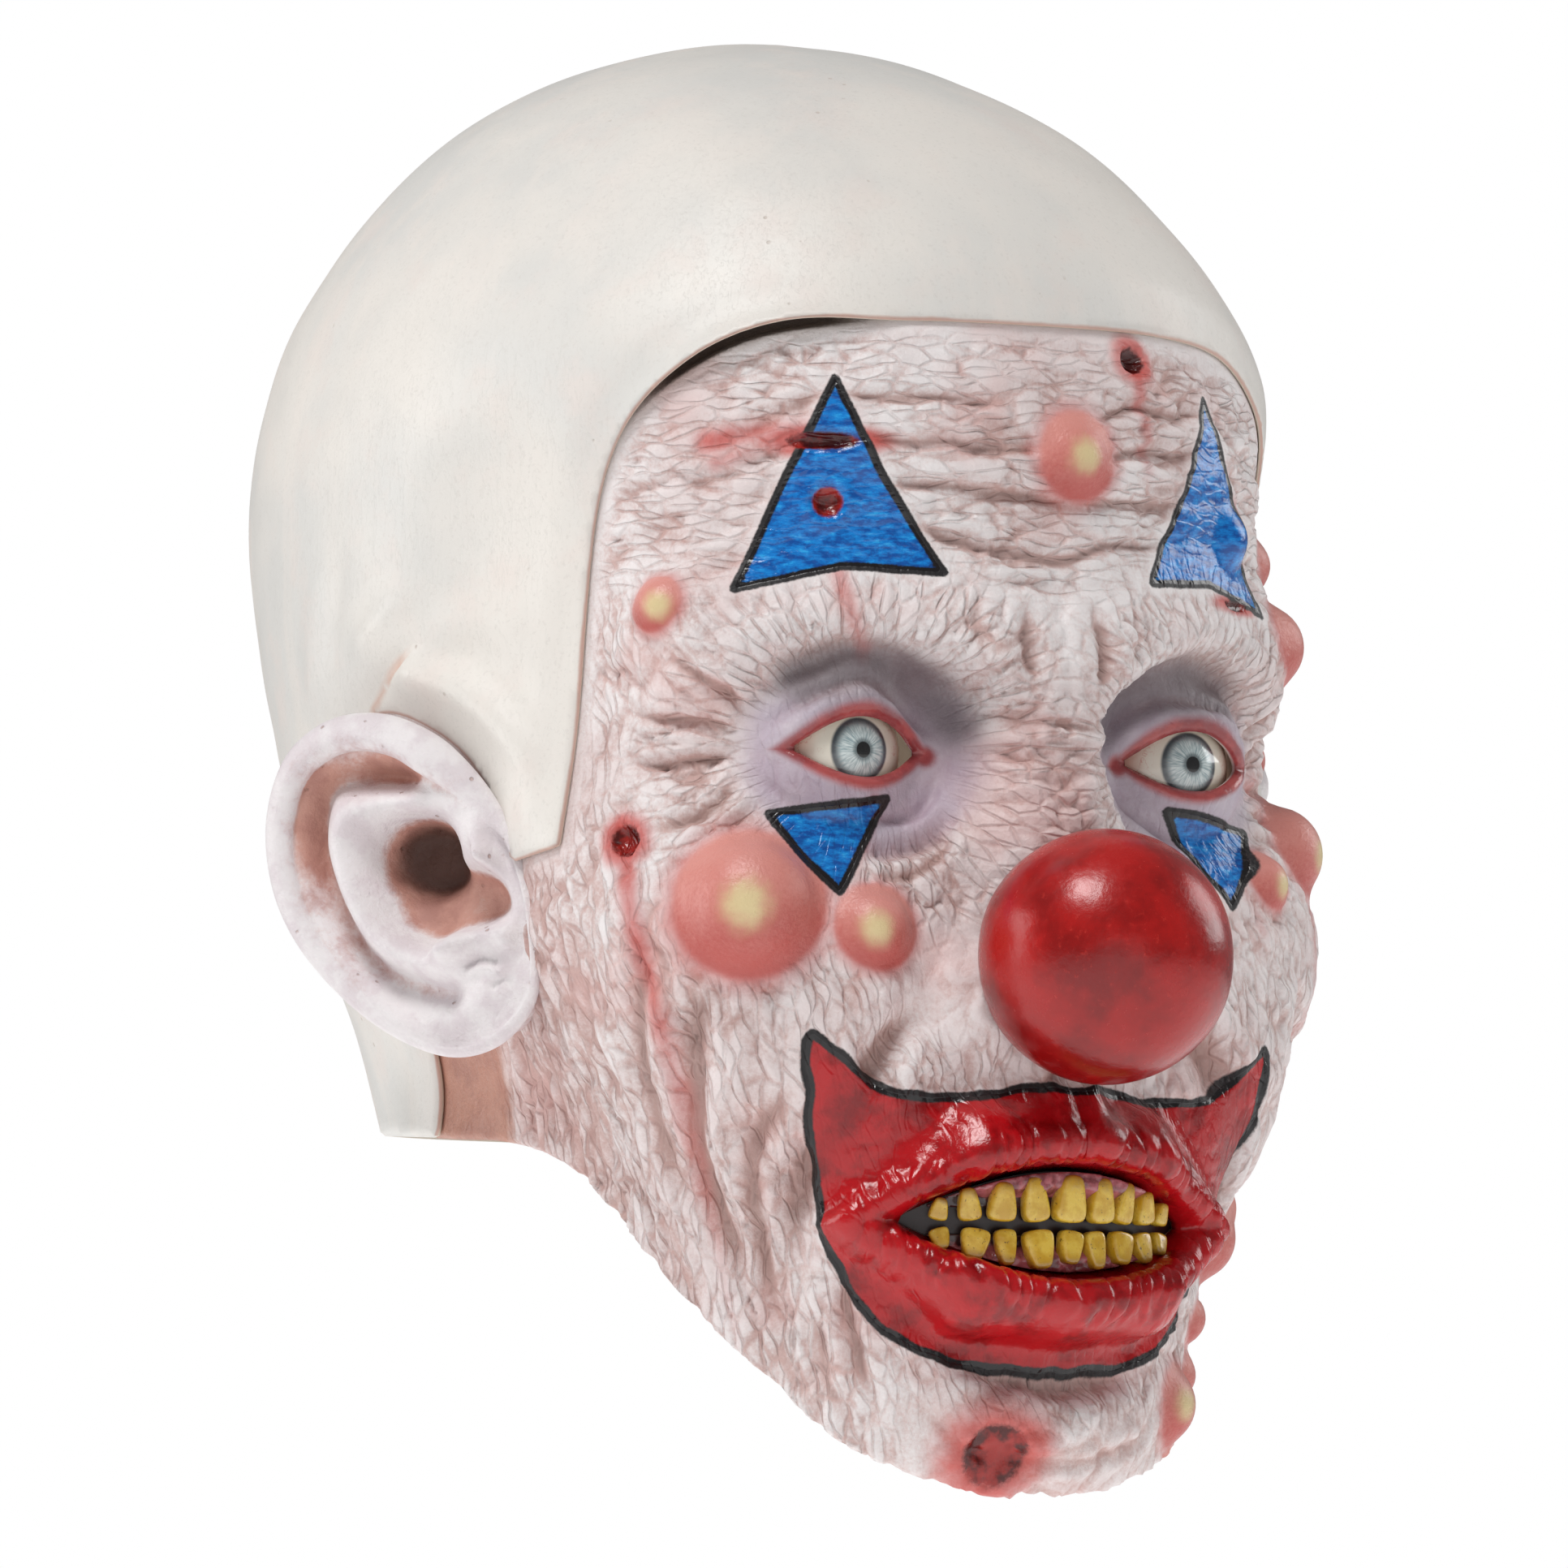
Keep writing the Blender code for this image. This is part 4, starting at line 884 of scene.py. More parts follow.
def painted_latex():
    """Chalky white brushed over flesh-coloured latex, with face paint, sores and boils. Creases, eye sockets, the skin
    under the cap's lifted edge and the boils' undersides get painted shade, and the blue paint gets painted sheen.
    """
    finish = Finish("painted_latex", Specular_IOR_Level=0.5)
    cavity = finish.layer("cavity")
    grain = finish.noise(1300.0, None, 3.0, 0.65)
    patch = finish.noise(130.0, None, 4.0, 0.6)
    broad = finish.noise(22.0, None, 3.0)
    cracks = fine_cracks(finish) * (0.35 + patch * 1.1)
    worn = finish.layer("across").size().ramp(62.0, 112.0) * 0.34 + finish.axis("Z").ramp(-215.0, -275.0) * 0.16
    thin_paint = 0.06 + worn + cavity * 0.9 + cracks * 0.34 + (grain - 0.5) * 0.85 + (patch - 0.5) * 0.6
    flesh = finish.mix(broad.ramp(0.38, 0.62), (0.56, 0.35, 0.315), (0.48, 0.27, 0.235))
    white = finish.mix(broad.ramp(0.42, 0.64), (0.82, 0.77, 0.765), (0.76, 0.66, 0.65))
    colour = finish.mix(thin_paint.ramp(0.08, 1.05) * 0.85, white, flesh)
    warm = finish.noise(34.0, None, 3.0, 0.5)
    colour = finish.mix(warm.ramp(0.52, 0.70) * 0.42, colour, (0.70, 0.40, 0.37))
    shade = cavity * cavity
    colour = finish.mix(shade.ramp(0.20, 0.95) * 0.42, colour, (0.30, 0.19, 0.165))

    bare = finish.layer("bare").ramp(0.25, 0.8)
    colour = finish.mix(bare * 0.9, colour, finish.mix(patch.ramp(0.4, 0.65), (0.47, 0.20, 0.13), (0.38, 0.15, 0.10)))

    lilac = finish.layer("lilac") * (0.55 + patch * 0.7)
    colour = finish.mix(lilac.ramp(0.10, 1.10) * 0.75, colour, (0.37, 0.29, 0.39))
    # Painted shade of the eye socket: dark grey along the lid crease and over the upper lid
    dusk = finish.layer("socket_shade") * (0.80 + patch * 0.3)
    colour = finish.mix(dusk.ramp(0.0, 1.15) * 0.84, colour, (0.095, 0.070, 0.078))

    sore = finish.layer("sore") * (0.62 + patch * 0.75)
    colour = finish.mix(sore.ramp(0.06, 1.0) * 0.9, colour, (0.56, 0.060, 0.045))
    boil = finish.layer("boil_skin")
    # Painted shade: each boil darkens from pink at its top to deep red at its bottom
    low = finish.layer("boil_underside_shade") + (grain - 0.5) * 0.45 + (patch - 0.5) * 0.35
    boil_colour = finish.mix(low.ramp(0.1, 0.95), (0.71, 0.29, 0.245), (0.47, 0.070, 0.055))
    colour = finish.mix(boil.ramp(0.1, 0.9) * 0.88, colour, boil_colour)
    head = finish.layer("yellow_head") + (grain - 0.5) * 0.25
    colour = finish.mix(head.ramp(0.12, 1.0) * 0.9, colour, (0.735, 0.62, 0.33))
    raw = (finish.layer("lid_red") * (0.7 + patch * 0.6)).ramp(0.12, 0.95)
    colour = finish.mix(raw * 0.92, colour, finish.mix(patch.ramp(0.4, 0.6), (0.27, 0.014, 0.013), (0.43, 0.060, 0.052)))

    blue_inside = finish.layer("blue_inside")
    blue = blue_inside.ramp(-0.12, 0.12)
    stroke_and_sheen = finish.noise(1.0, finish.vector(finish.layer("across") * 0.30, finish.axis("Z") * 0.75, 0.0), 4.0, 0.65)
    blue_colour = finish.mix(stroke_and_sheen.ramp(0.38, 0.58), (0.004, 0.075, 0.33), (0.006, 0.205, 0.62))
    # Painted sheen: the brightest blue streaks over the brush marks
    blue_colour = finish.mix(stroke_and_sheen.ramp(0.56, 0.70), blue_colour, (0.025, 0.36, 0.78))
    colour = finish.mix(blue, colour, blue_colour)
    red_inside = finish.layer("red_inside")
    red = red_inside.ramp(-0.12, 0.12)
    red_colour = finish.mix(patch.ramp(0.34, 0.56), (0.25, 0.0025, 0.0045), (0.47, 0.006, 0.010))
    red_colour = finish.mix(cavity * 0.45, red_colour, (0.12, 0.002, 0.002))
    colour = finish.mix(red, colour, red_colour)
    wobble = (grain - 0.5) * 0.5
    line = (blue_inside.size() + wobble).ramp(1.05, 0.62).highest((red_inside.size() + wobble).ramp(1.15, 0.70))
    colour = finish.mix(line, colour, (0.010, 0.008, 0.009))

    wound = (finish.layer("wounded") + (grain - 0.5) * 0.5).ramp(0.25, 0.75)
    colour = finish.mix(wound, colour, finish.mix(patch.ramp(0.44, 0.60), (0.075, 0.005, 0.004), (0.36, 0.022, 0.017)))
    # Painted shadow on the skin under the cap's lifted edge
    gap = (finish.layer("gap") + (grain - 0.5) * 0.3).ramp(0.15, 0.75)
    colour = finish.mix(gap * 0.93, colour, (0.060, 0.040, 0.034))
    inside = finish.layer("inside").ramp(0.82, 0.98)
    colour = finish.mix(inside, colour, finish.mix(patch.ramp(0.4, 0.6), (0.56, 0.40, 0.31), (0.50, 0.33, 0.25)))

    wet = wound.highest(raw).highest(red)
    gloss = blue.highest(wet)
    roughness = 0.52 - bare * 0.14 - gloss * 0.34 + (grain - 0.5) * 0.3 * (1.0 - gloss * 0.7) - boil * 0.16
    height = grain * (0.24 - gloss * 0.14) + patch * 0.35 - cracks * 0.45
    return finish.surface(colour, roughness, height, 0.8, 0.0010)


def ear_latex():
    """The same white brushed over the ears, worn to flesh in their folds, with painted shade darkening the bowl."""
    finish = Finish("ear_latex", Specular_IOR_Level=0.45)
    grain = finish.noise(1000.0, None, 3.0, 0.65)
    patch = finish.noise(150.0, None, 4.0, 0.6)
    cavity = finish.layer("cavity") + (grain - 0.5) * 0.5 + (patch - 0.5) * 0.9
    white = finish.mix(patch.ramp(0.4, 0.62), (0.80, 0.755, 0.76), (0.72, 0.65, 0.67))
    flesh = finish.mix(patch.ramp(0.38, 0.66), (0.58, 0.28, 0.21), (0.46, 0.20, 0.15))
    colour = finish.mix(cavity.ramp(0.18, 0.95) * 0.92, white, flesh)
    speck = finish.spots(300.0).ramp(0.16, 0.08) * patch.ramp(0.50, 0.60)
    colour = finish.mix(speck * 0.6, colour, (0.42, 0.24, 0.19))
    # Painted shade: the deep bowl darkened to near black
    deep = finish.layer("deep") + (patch - 0.5) * 0.2
    colour = finish.mix(deep.ramp(0.55, 1.0) * 0.96, colour, (0.065, 0.026, 0.017))
    roughness = 0.58 + (grain - 0.5) * 0.25
    return finish.surface(colour, roughness, grain * 0.45 + patch * 0.7 - speck * 0.5, 0.8, 0.0008)


def cap_latex():
    """Smooth off-white latex, mottled, pitted and scratched, with a flesh-coloured edge and flesh-toned painted shade
    in a fold by the ear.
    """
    finish = Finish("cap_latex", Specular_IOR_Level=0.45)
    cloud = finish.noise(16.0, None, 3.0)
    blot = finish.noise(60.0, None, 4.0, 0.6)
    grain = finish.noise(900.0, None, 2.0)
    colour = finish.mix(cloud.ramp(0.38, 0.62), (0.775, 0.735, 0.685), (0.690, 0.675, 0.645))
    colour = finish.mix(blot.ramp(0.48, 0.72) * 0.5, colour, (0.77, 0.675, 0.625))
    smear = finish.noise(5.0, finish.vector(finish.axis("X") * 0.012, finish.axis("Y") * 0.012, 0.0), 4.0, 0.6)
    colour = finish.mix(smear.ramp(0.46, 0.66) * 0.45, colour, (0.80, 0.74, 0.685))
    colour = finish.mix((grain - 0.5).size().ramp(0.10, 0.22) * 0.25, colour, (0.60, 0.56, 0.52))
    long_place = finish.vector(finish.axis("X") * 0.05, finish.axis("Y") * 0.05, finish.axis("Z") * 0.012)
    scratch = finish.noise(7.0, long_place, 3.0, 0.7)
    scratched = (scratch - 0.5).size().ramp(0.006, 0.0)
    colour = finish.mix(scratched * 0.35, colour, (0.80, 0.78, 0.74))
    pit = finish.spots(170.0).ramp(0.085, 0.045) * blot.ramp(0.52, 0.60)
    colour = finish.mix(pit * 0.6, colour, (0.52, 0.44, 0.38))
    # Painted shade, flesh-toned, in the deepest fold by the ear
    fold = finish.layer("fold_shadow") * (0.35 + blot * 1.2)
    colour = finish.mix(fold.ramp(0.25, 1.15) * 0.8, colour, (0.60, 0.31, 0.21))
    edge = (finish.layer("edge") + (blot - 0.5) * 1.2).ramp(0.75, 0.05)
    colour = finish.mix(edge * 0.8, colour, (0.55, 0.30, 0.23))
    inside = finish.layer("inside").ramp(0.3, 0.7)
    colour = finish.mix(inside, colour, (0.66, 0.58, 0.48))
    roughness = 0.46 + (blot - 0.5) * 0.25 + pit * 0.2
    return finish.surface(colour, roughness, blot * 0.9 + grain * 0.18 - pit * 0.5 + scratched * 0.15, 0.45, 0.0006)


def nose_gloss():
    """Glossy red, painted by hand: mottled and scuffed, and darker towards the bottom with painted shade on its
    underside.
    """
    finish = Finish("nose_gloss", Specular_IOR_Level=0.5)
    cloud = finish.noise(55.0, None, 4.0, 0.6)
    grain = finish.noise(700.0, None, 3.0, 0.65)
    colour = finish.mix(cloud.ramp(0.36, 0.64), (0.22, 0.003, 0.003), (0.44, 0.007, 0.006))
    colour = finish.mix(grain.ramp(0.58, 0.74) * 0.35, colour, (0.58, 0.030, 0.020))
    # Painted shade on the nose's lower half
    nose_underside_shade = finish.axis("Z").ramp(-178.0, -206.0)
    colour = finish.mix(nose_underside_shade * 0.45, colour, (0.20, 0.003, 0.003))
    roughness = 0.24 + (cloud - 0.5) * 0.20 + (grain - 0.5) * 0.15
    return finish.surface(colour, roughness, cloud * 0.8 + grain * 0.22, 0.5, 0.0006)


def eye_gloss():
    """A hard glossy eye: cream white that reddens towards the lids and a pale iris with a dark ring."""
    finish = Finish("eye_gloss", Coat_Weight=1.0, Coat_Roughness=0.04, Specular_IOR_Level=0.5)
    off_axis = finish.layer("off_axis")
    cloud = finish.noise(260.0, None, 3.0)
    white = finish.mix(off_axis.ramp(7.5, 12.5) * (0.55 + cloud * 0.5), (0.80, 0.755, 0.64), (0.66, 0.30, 0.22))
    vein = (finish.noise(210.0, None, 4.0, 0.6) - 0.5).size().ramp(0.012, 0.0) * off_axis.ramp(6.5, 10.0)
    white = finish.mix(vein * 0.6, white, (0.55, 0.10, 0.07))
    spoke_place = finish.vector(finish.layer("turn_x") * 7.0, finish.layer("turn_y") * 7.0, off_axis * 0.25)
    spoke = finish.noise(1.6, spoke_place, 3.0, 0.6)
    iris = finish.mix(spoke.ramp(0.35, 0.65), (0.30, 0.40, 0.42), (0.66, 0.74, 0.73))
    iris = finish.mix(off_axis.ramp(2.6, 1.7) * 0.8, iris, (0.10, 0.13, 0.14))
    ring = off_axis + (spoke - 0.5) * 0.9
    iris = finish.mix(ring.ramp(IRIS_RADIUS - 1.9, IRIS_RADIUS - 0.4), iris, (0.05, 0.06, 0.07))
    colour = finish.mix(off_axis.ramp(IRIS_RADIUS + 0.35, IRIS_RADIUS - 0.25), white, iris)
    colour = finish.mix(off_axis.ramp(PUPIL_RADIUS + 0.18, PUPIL_RADIUS - 0.12), colour, (0.004, 0.004, 0.005))
    return finish.surface(colour, 0.25, cloud, 0.05, 0.0003)


def tooth_gloss():
    """Yellow enamel paint, browner at the gum and specked with dirt."""
    finish = Finish("tooth_gloss", Coat_Weight=0.8, Coat_Roughness=0.08, Specular_IOR_Level=0.5)
    root = finish.layer("root")
    cloud = finish.noise(330.0, None, 4.0, 0.6)
    grain = finish.noise(1500.0, None, 3.0, 0.6)
    colour = finish.mix(cloud.ramp(0.36, 0.64), (0.66, 0.39, 0.020), (0.84, 0.59, 0.075))
    colour = finish.mix((root + (cloud - 0.5) * 0.8).ramp(0.62, 1.05) * 0.85, colour, (0.26, 0.105, 0.012))
    speck = grain.ramp(0.64, 0.70)
    colour = finish.mix(speck * 0.8, colour, (0.09, 0.035, 0.008))
    return finish.surface(colour, 0.26 + (cloud - 0.5) * 0.2, cloud * 0.8 + grain * 0.2 - speck * 0.4, 0.5, 0.0004)


def gum_gloss():
    """Wet pink gum paint that thins to dark between the teeth."""
    finish = Finish("gum_gloss", Coat_Weight=0.6, Coat_Roughness=0.1)
    cloud = finish.noise(300.0, None, 4.0, 0.6)
    colour = finish.mix(cloud.ramp(0.38, 0.62), (0.16, 0.030, 0.035), (0.46, 0.13, 0.15))
    height = (finish.layer("stand_out") + (cloud - 0.5) * 0.6).ramp(0.35, 0.05)
    colour = finish.mix(height * 0.9, colour, (0.020, 0.006, 0.007))
    return finish.surface(colour, 0.28, cloud, 0.6, 0.0006)


def mouth_black():
    """Black gloss paint behind the teeth."""
    finish = Finish("mouth_black")
    cloud = finish.noise(200.0, None, 3.0)
    colour = finish.mix(cloud, (0.010, 0.005, 0.005), (0.030, 0.010, 0.010))
    return finish.surface(colour, 0.35, cloud, 0.4, 0.0005)


def white_paper():
    """The pale floor, evenly lit."""
    finish = Finish("white_paper", Emission_Color=(1.0, 1.0, 1.0), Emission_Strength=0.55)
    return finish.surface(finish.mix(finish.noise(3.0), (0.86, 0.86, 0.86), (0.90, 0.90, 0.90)), 0.9)


# Pieces

def round_over(inside, radius):
    """How far a surface falls away towards an edge with that rounding."""
    rest = np.clip(radius - inside, 0.0, radius)
    return radius - np.sqrt(radius * radius - rest * rest)


def make_face_skin(finish):
    share = np.linspace(-1.0, 1.0, FACE_COLUMNS)
    columns = FACE_SPAN * (0.74 * share + 0.26 * share ** 3)
    fine = np.linspace(0.74 * TOP_ARC, TOP_ARC + SPINE_LENGTH + FOOT_ARC, 600)
    heights = SPINE_TOP - (fine - TOP_ARC)
    weight = 1.0 + 0.5 * sum(np.exp(-((heights - z) / 22.0) ** 2) for z in (EYE_CENTRE[2], MOUTH_HEIGHT))
    total = np.cumsum(weight)
    rows = np.interp(np.linspace(total[0], total[-1], FACE_ROWS), total, fine)
    azimuth, down = np.meshgrid(columns, rows)
    far = reach_fine(face_distance, azimuth, down)
    start, heading = ray(azimuth, down)
    side = face_keep(start + far[..., None] * heading)
    azimuth, down, side = snap_to_outline(azimuth, down, side, False)
    points = reach_skin(face_distance, azimuth, down, 0.0, far, 10)
    across = azimuth_of(points) * SKIN_RADIUS
    up = points[..., 2]
    calm = boil_cover(points)
    under_cap = ramp(inside_window(points), 0.0, 5.0)
    open_edge = ramp(-eye_opening(points), 0.3, 3.5) * ramp(-mouth_opening(points), 0.5, 7.0)
    values = paint_values(points, across, up)
    painted = ramp(np.maximum(values["blue_inside"] + 1.5, values["red_inside"]), -2.0, 1.0)
    soft = np.maximum(np.maximum(0.85 * values["socket_shade"], 0.6 * values["lilac"]), 0.75 * painted)
    soft = np.maximum(soft, 0.9 * np.clip(values["bare"], 0.0, 1.0))
    folds, leather, cavity, fan, brow, cheek = wrinkle_relief(across, up)
    gentle = under_cap * open_edge * (1.0 - calm)
    relief = (folds * (1.0 - 0.85 * painted) + leather * (1.0 - soft)) * gentle
    relief = relief + wound_relief(across, up) + lip_relief(points)
    relief = relief - ear_dent(across, up)
    relief = relief - LAP_HOLLOW * unstuck(points) * ramp(inside_window(points), 0.8, -3.0) * (up > 150)
    dug = lowest_near(np.minimum(relief, 0.0), 4)
    relief = relief - round_over(-eye_opening(points), LID_ROUNDING) * (np.abs(points[..., 0]) > 10)
    relief = relief - round_over(-mouth_opening(points), LIP_ROUNDING) - round_over(above_rim(points), 1.0)
    outer = points + grid_normals(points, False) * relief[..., None]
    start, heading = ray(azimuth, down)
    inner_far = reach_far(core_distance, azimuth, down, -SKIN_WALL, far - SKIN_WALL, 24)
    dug_far = np.linalg.norm(points - start, axis=-1) + 1.25 * dug - THINNEST_SKIN
    outer_far = np.linalg.norm(outer - start, axis=-1) - 1.0
    inner = start + np.minimum(inner_far, np.minimum(dug_far, outer_far))[..., None] * heading
    values["cavity"] = cavity * gentle * (1.0 - 0.5 * soft)
    for name, weight in (("fan_lines", fan), ("level_lines", brow), ("upright_lines", cheek)):
        values[name] = weight * gentle * (1.0 - soft)
    flat = {key: value.ravel() for key, value in values.items()}
    faces = kept_faces(side, False)
    mesh = walled_mesh("painted_skin", outer.reshape(-1, 3), inner.reshape(-1, 3), faces, flat, thin=0.10)
    return add_piece("painted_skin", mesh, finish, "face_skin")


def lowest_near(values, reach):
    """The lowest value within that many grid steps of each place."""
    for axis in (0, 1):
        moved = [np.roll(values, step, axis) for step in range(-reach, reach + 1)]
        values = np.minimum.reduce(moved)
    return values


def boil_cover(points):
    """1 on the boils, where the skin is stretched smooth."""
    cover = np.zeros(points.shape[:-1])
    for _, place in boil_places:
        gap = np.linalg.norm(points - place[:3], axis=-1) / place[3]
        cover = np.maximum(cover, 1.0 - ramp(gap, 1.02, 1.35))
    return cover


def ear_dent(across, up):
    """The hollow behind the ear's bowl."""
    away = np.hypot((np.abs(across) - EAR_BOWL_ACROSS) / 18.5, (up - EAR_BOWL_UP) / 15.0)
    return EAR_BOWL_DENT / (1.0 + away ** 10)


def wound_relief(across, up):
    """Torn holes with a swollen edge."""
    relief = np.zeros(across.shape)
    for wound in WOUNDS:
        gap = wound_gap(across, up, wound)
        ragged = gap + 0.18 * noise(across / 1.6, up / 1.6, 61)
        relief -= wound.depth * np.exp(-ragged ** 4)
        relief += 0.30 * wound.depth * np.exp(-((ragged - 1.5) / 0.45) ** 2)
    return relief


def wound_gap(across, up, wound):
    middle = math.radians(wound.azimuth) * SKIN_RADIUS
    return np.hypot((across - middle) / wound.half_length, (up - wound.height) / wound.half_height)


def lip_relief(points):
    """Full lips with upright creases."""
    edge = -mouth_opening(points)
    on_lip = (1.0 - ramp(edge, 7.0, 12.0)) * ramp(edge, -0.2, 1.5)
    turn = points[..., 0] / 3.6 + 0.35 * noise(points[..., 0] / 6, points[..., 2] / 6, 71)
    crease = lines(turn, points[..., 2] / 16.0, 72, 0.36)
    swell = 2.6 * np.exp(-((edge - 5.5) / 3.9) ** 2) * (points[..., 1] < -60.0)
    return swell - 1.25 * on_lip * crease


def paint_values(points, across, up):
    """The values that the skin's paint is drawn from."""
    side = np.abs(across)
    values = {}
    wave = 0.5 * noise(across / 5, up / 5, 81)
    values["blue_inside"] = np.maximum(
        inside_outline(side, up, on_skin(BROW_TRIANGLE)), inside_outline(side, up, on_skin(CHEEK_TRIANGLE))) + 0.3 * wave
    values["red_inside"] = inside_outline(side, up, [tuple(p) for p in rounded(on_skin(MOUTH_PAINT), 4)]) + wave
    sore = np.zeros(across.shape)
    head = np.zeros(across.shape)
    boil_skin = np.zeros(across.shape)
    boil_underside_shade = np.zeros(across.shape)
    for boil, place in boil_places:
        gap = np.linalg.norm(points - place[:3], axis=-1) / place[3]
        sore = np.maximum(sore, 0.8 * (1.0 - ramp(gap, 0.9, 1.75)))
        boil_skin = np.maximum(boil_skin, 1.0 - ramp(gap, 1.02, 1.3))
        # How low on its boil each place lies, for the painted shade of the boil's underside
        boil_underside_shade = np.where(gap < 1.35, 0.5 + 0.5 * (place[2] - points[..., 2]) / place[3], boil_underside_shade)
        if boil.head:
            _, outward = ray(np.array(math.radians(boil.azimuth)), np.array(TOP_ARC))
            top = place[:3] + outward * place[3]
            away = np.linalg.norm(points - top, axis=-1) / place[3]
            away = away + 0.07 * noise(across / 2.0, up / 2.0, 63)
            head = np.maximum(head, np.exp(-(away / (1.25 * boil.head)) ** 2))
    wounded = np.zeros(across.shape)
    for wound in WOUNDS:
        gap = wound_gap(across, up, wound)
        wounded = np.maximum(wounded, 1.0 - ramp(gap, 0.75, 1.45))
        sore = np.maximum(sore, 0.95 * (1.0 - ramp(gap, 1.0, 3.2)))
    for run in RUNS:
        gap, place = near_path(across, up, on_skin(run.points))
        fade = 1.0 - 0.5 * place
        sore = np.maximum(sore, run.strength * fade * np.exp(-(gap / run.width) ** 2))
    values["sore"] = sore
    values["boil_skin"] = boil_skin
    values["boil_underside_shade"] = boil_underside_shade
    values["yellow_head"] = head
    values["wounded"] = wounded
    eye_edge = -eye_opening(points)
    front = points[..., 1] < EYE_CENTRE[1]
    eye = np.hypot((side - 37.0) / 1.25, up - EYE_CENTRE[2] + 1.0)
    corner = np.hypot((side - 23.6) * 0.9, (up - 142.4) * 1.2)
    raw = np.maximum(1.0 - ramp(eye_edge, 0.3, 3.6), 1.0 - ramp(corner, 0.8, 4.4)) * front
    values["lid_red"] = np.where(eye < 24, raw, 0.0)
    # The skin under the cap's lifted edge, for its painted shadow
    values["gap"] = unstuck(points) * ramp(inside_window(points), 1.3, -0.4) * (up > 150)
    values["lilac"] = np.where(front, (1.0 - ramp(eye, 15.0, 23.0)) * (1.0 - 0.3 * ramp(up, 150, 156)), 0.0)
    # Painted shade of the eye socket, strongest along the lid crease and over the upper lid
    dusk, _ = near_path(side, up, [(18, 148), (25, 155), (37, 158.5), (49, 155.5)])
    lid = np.where(front & (eye < 20), ramp(up, 146, 154) * (1.0 - ramp(eye, 13, 20)), 0.0)
    values["socket_shade"] = np.maximum(np.exp(-(dusk / 5.2) ** 2), 0.6 * lid)
    values["bare"] = ramp(side, 118, 134) * (1.0 - ramp(up, 92, 104)) + ramp(side, 148, 156)
    values["across"] = across
    far = np.maximum(np.hypot(side - 37.0, up - EYE_CENTRE[2]), 1.0)
    values["turn_x"] = (side - 37.0) / far
    values["turn_y"] = (up - EYE_CENTRE[2]) / far
    values["eye_far"] = far
    return values


def make_bald_cap(finish):
    share = np.linspace(-1.0, 1.0, CAP_COLUMNS + 1)[:-1]
    columns = math.pi * (0.62 * share + 0.38 * share ** 3)
    rows = np.linspace(0.02 * TOP_ARC, TOP_ARC + SPINE_LENGTH, CAP_ROWS)
    azimuth, down = np.meshgrid(columns, rows)
    far = reach_fine(core_distance, azimuth, down)
    start, heading = ray(azimuth, down)
    side = cap_keep(start + far[..., None] * heading)
    azimuth, down, side = snap_to_outline(azimuth, down, side, True)
    points = reach_skin(core_distance, azimuth, down, 0.0, far, 8)
    lift = cap_lift(points)
    relief, shadow = cap_relief(points)
    near_edge = -inside_window(points)
    round_edge = round_over(near_edge, 0.4) + round_over(above_rim(points), 0.8)
    thin_edge = 1.0 - ramp(near_edge, 0.0, 10.0)
    outer_level = LAP_GAP + CAP_WALL + lift + relief * (1.0 - thin_edge) - round_edge - 1.45 * thin_edge
    outer = reach_skin(core_distance, azimuth, down, outer_level, far + 3, 12)
    inner = reach_skin(core_distance, azimuth, down, LAP_GAP + lift - 0.65 * thin_edge, far + 1, 12)
    top = np.zeros(1)
    top_outer = reach_skin(core_distance, top, top, LAP_GAP + CAP_WALL)
    top_inner = reach_skin(core_distance, top, top, LAP_GAP)
    count = azimuth.size
    faces = kept_faces(side, True)
    faces += [[count, column, (column + 1) % CAP_COLUMNS] for column in range(CAP_COLUMNS)]
    values = {"edge": near_edge, "fold_shadow": shadow, "rim": above_rim(points)}
    flat = {key: np.append(value.ravel(), 0.0) for key, value in values.items()}
    flat["edge"][-1] = flat["rim"][-1] = 100.0
    outer = np.vstack([outer.reshape(-1, 3), top_outer])
    inner = np.vstack([inner.reshape(-1, 3), top_inner])
    mesh = walled_mesh("smooth_cap", outer, inner, faces, flat, thin=0.15)
    return add_piece("smooth_cap", mesh, finish, "bald_cap")


def unstuck(points):
    """1 on the wearer's right of the forehead, where the cap's edge has come unstuck."""
    azimuth = np.degrees(azimuth_of(points))
    along = np.clip(1.0 - np.abs(azimuth + 35.0) / 19.0, 0.0, 1.0)
    return ramp(along, 0.0, 0.8)


def cap_lift(points):
    """How far the cap stands off the forehead near its edge."""
    near_edge = np.clip(1.0 + inside_window(points) / CAP_LAP, 0.0, 1.0)
    return CAP_LIFT * unstuck(points) * near_edge ** 2


# Soft folds of the cap by the ear, half of them. Columns: height and half width in mm, how much flesh-toned
# painted shade lies in it, then azimuth in degrees and height of its points
CAP_FOLDS = [
    (1.8, 3.6, 0.0, [(88, 154), (82, 159), (75, 157.5), (69, 152), (64, 145), (60, 138)]),
    (-1.9, 2.2, 1.0, [(92, 149), (88.5, 155), (84.5, 160.5), (79, 167)]),
    (1.2, 3.2, 0.0, [(92, 163), (86, 170), (80, 177)]),
    (-0.9, 3.0, 0.0, [(80, 163), (73, 163), (67, 159), (62, 152)]),
    (0.8, 3.4, 0.0, [(78, 169), (70, 170), (63, 166)]),
    (-0.8, 3.2, 0.0, [(97, 160), (96, 172), (93, 186)]),
    (0.8, 4.0, 0.0, [(102, 152), (101, 168), (98, 184)]),
]


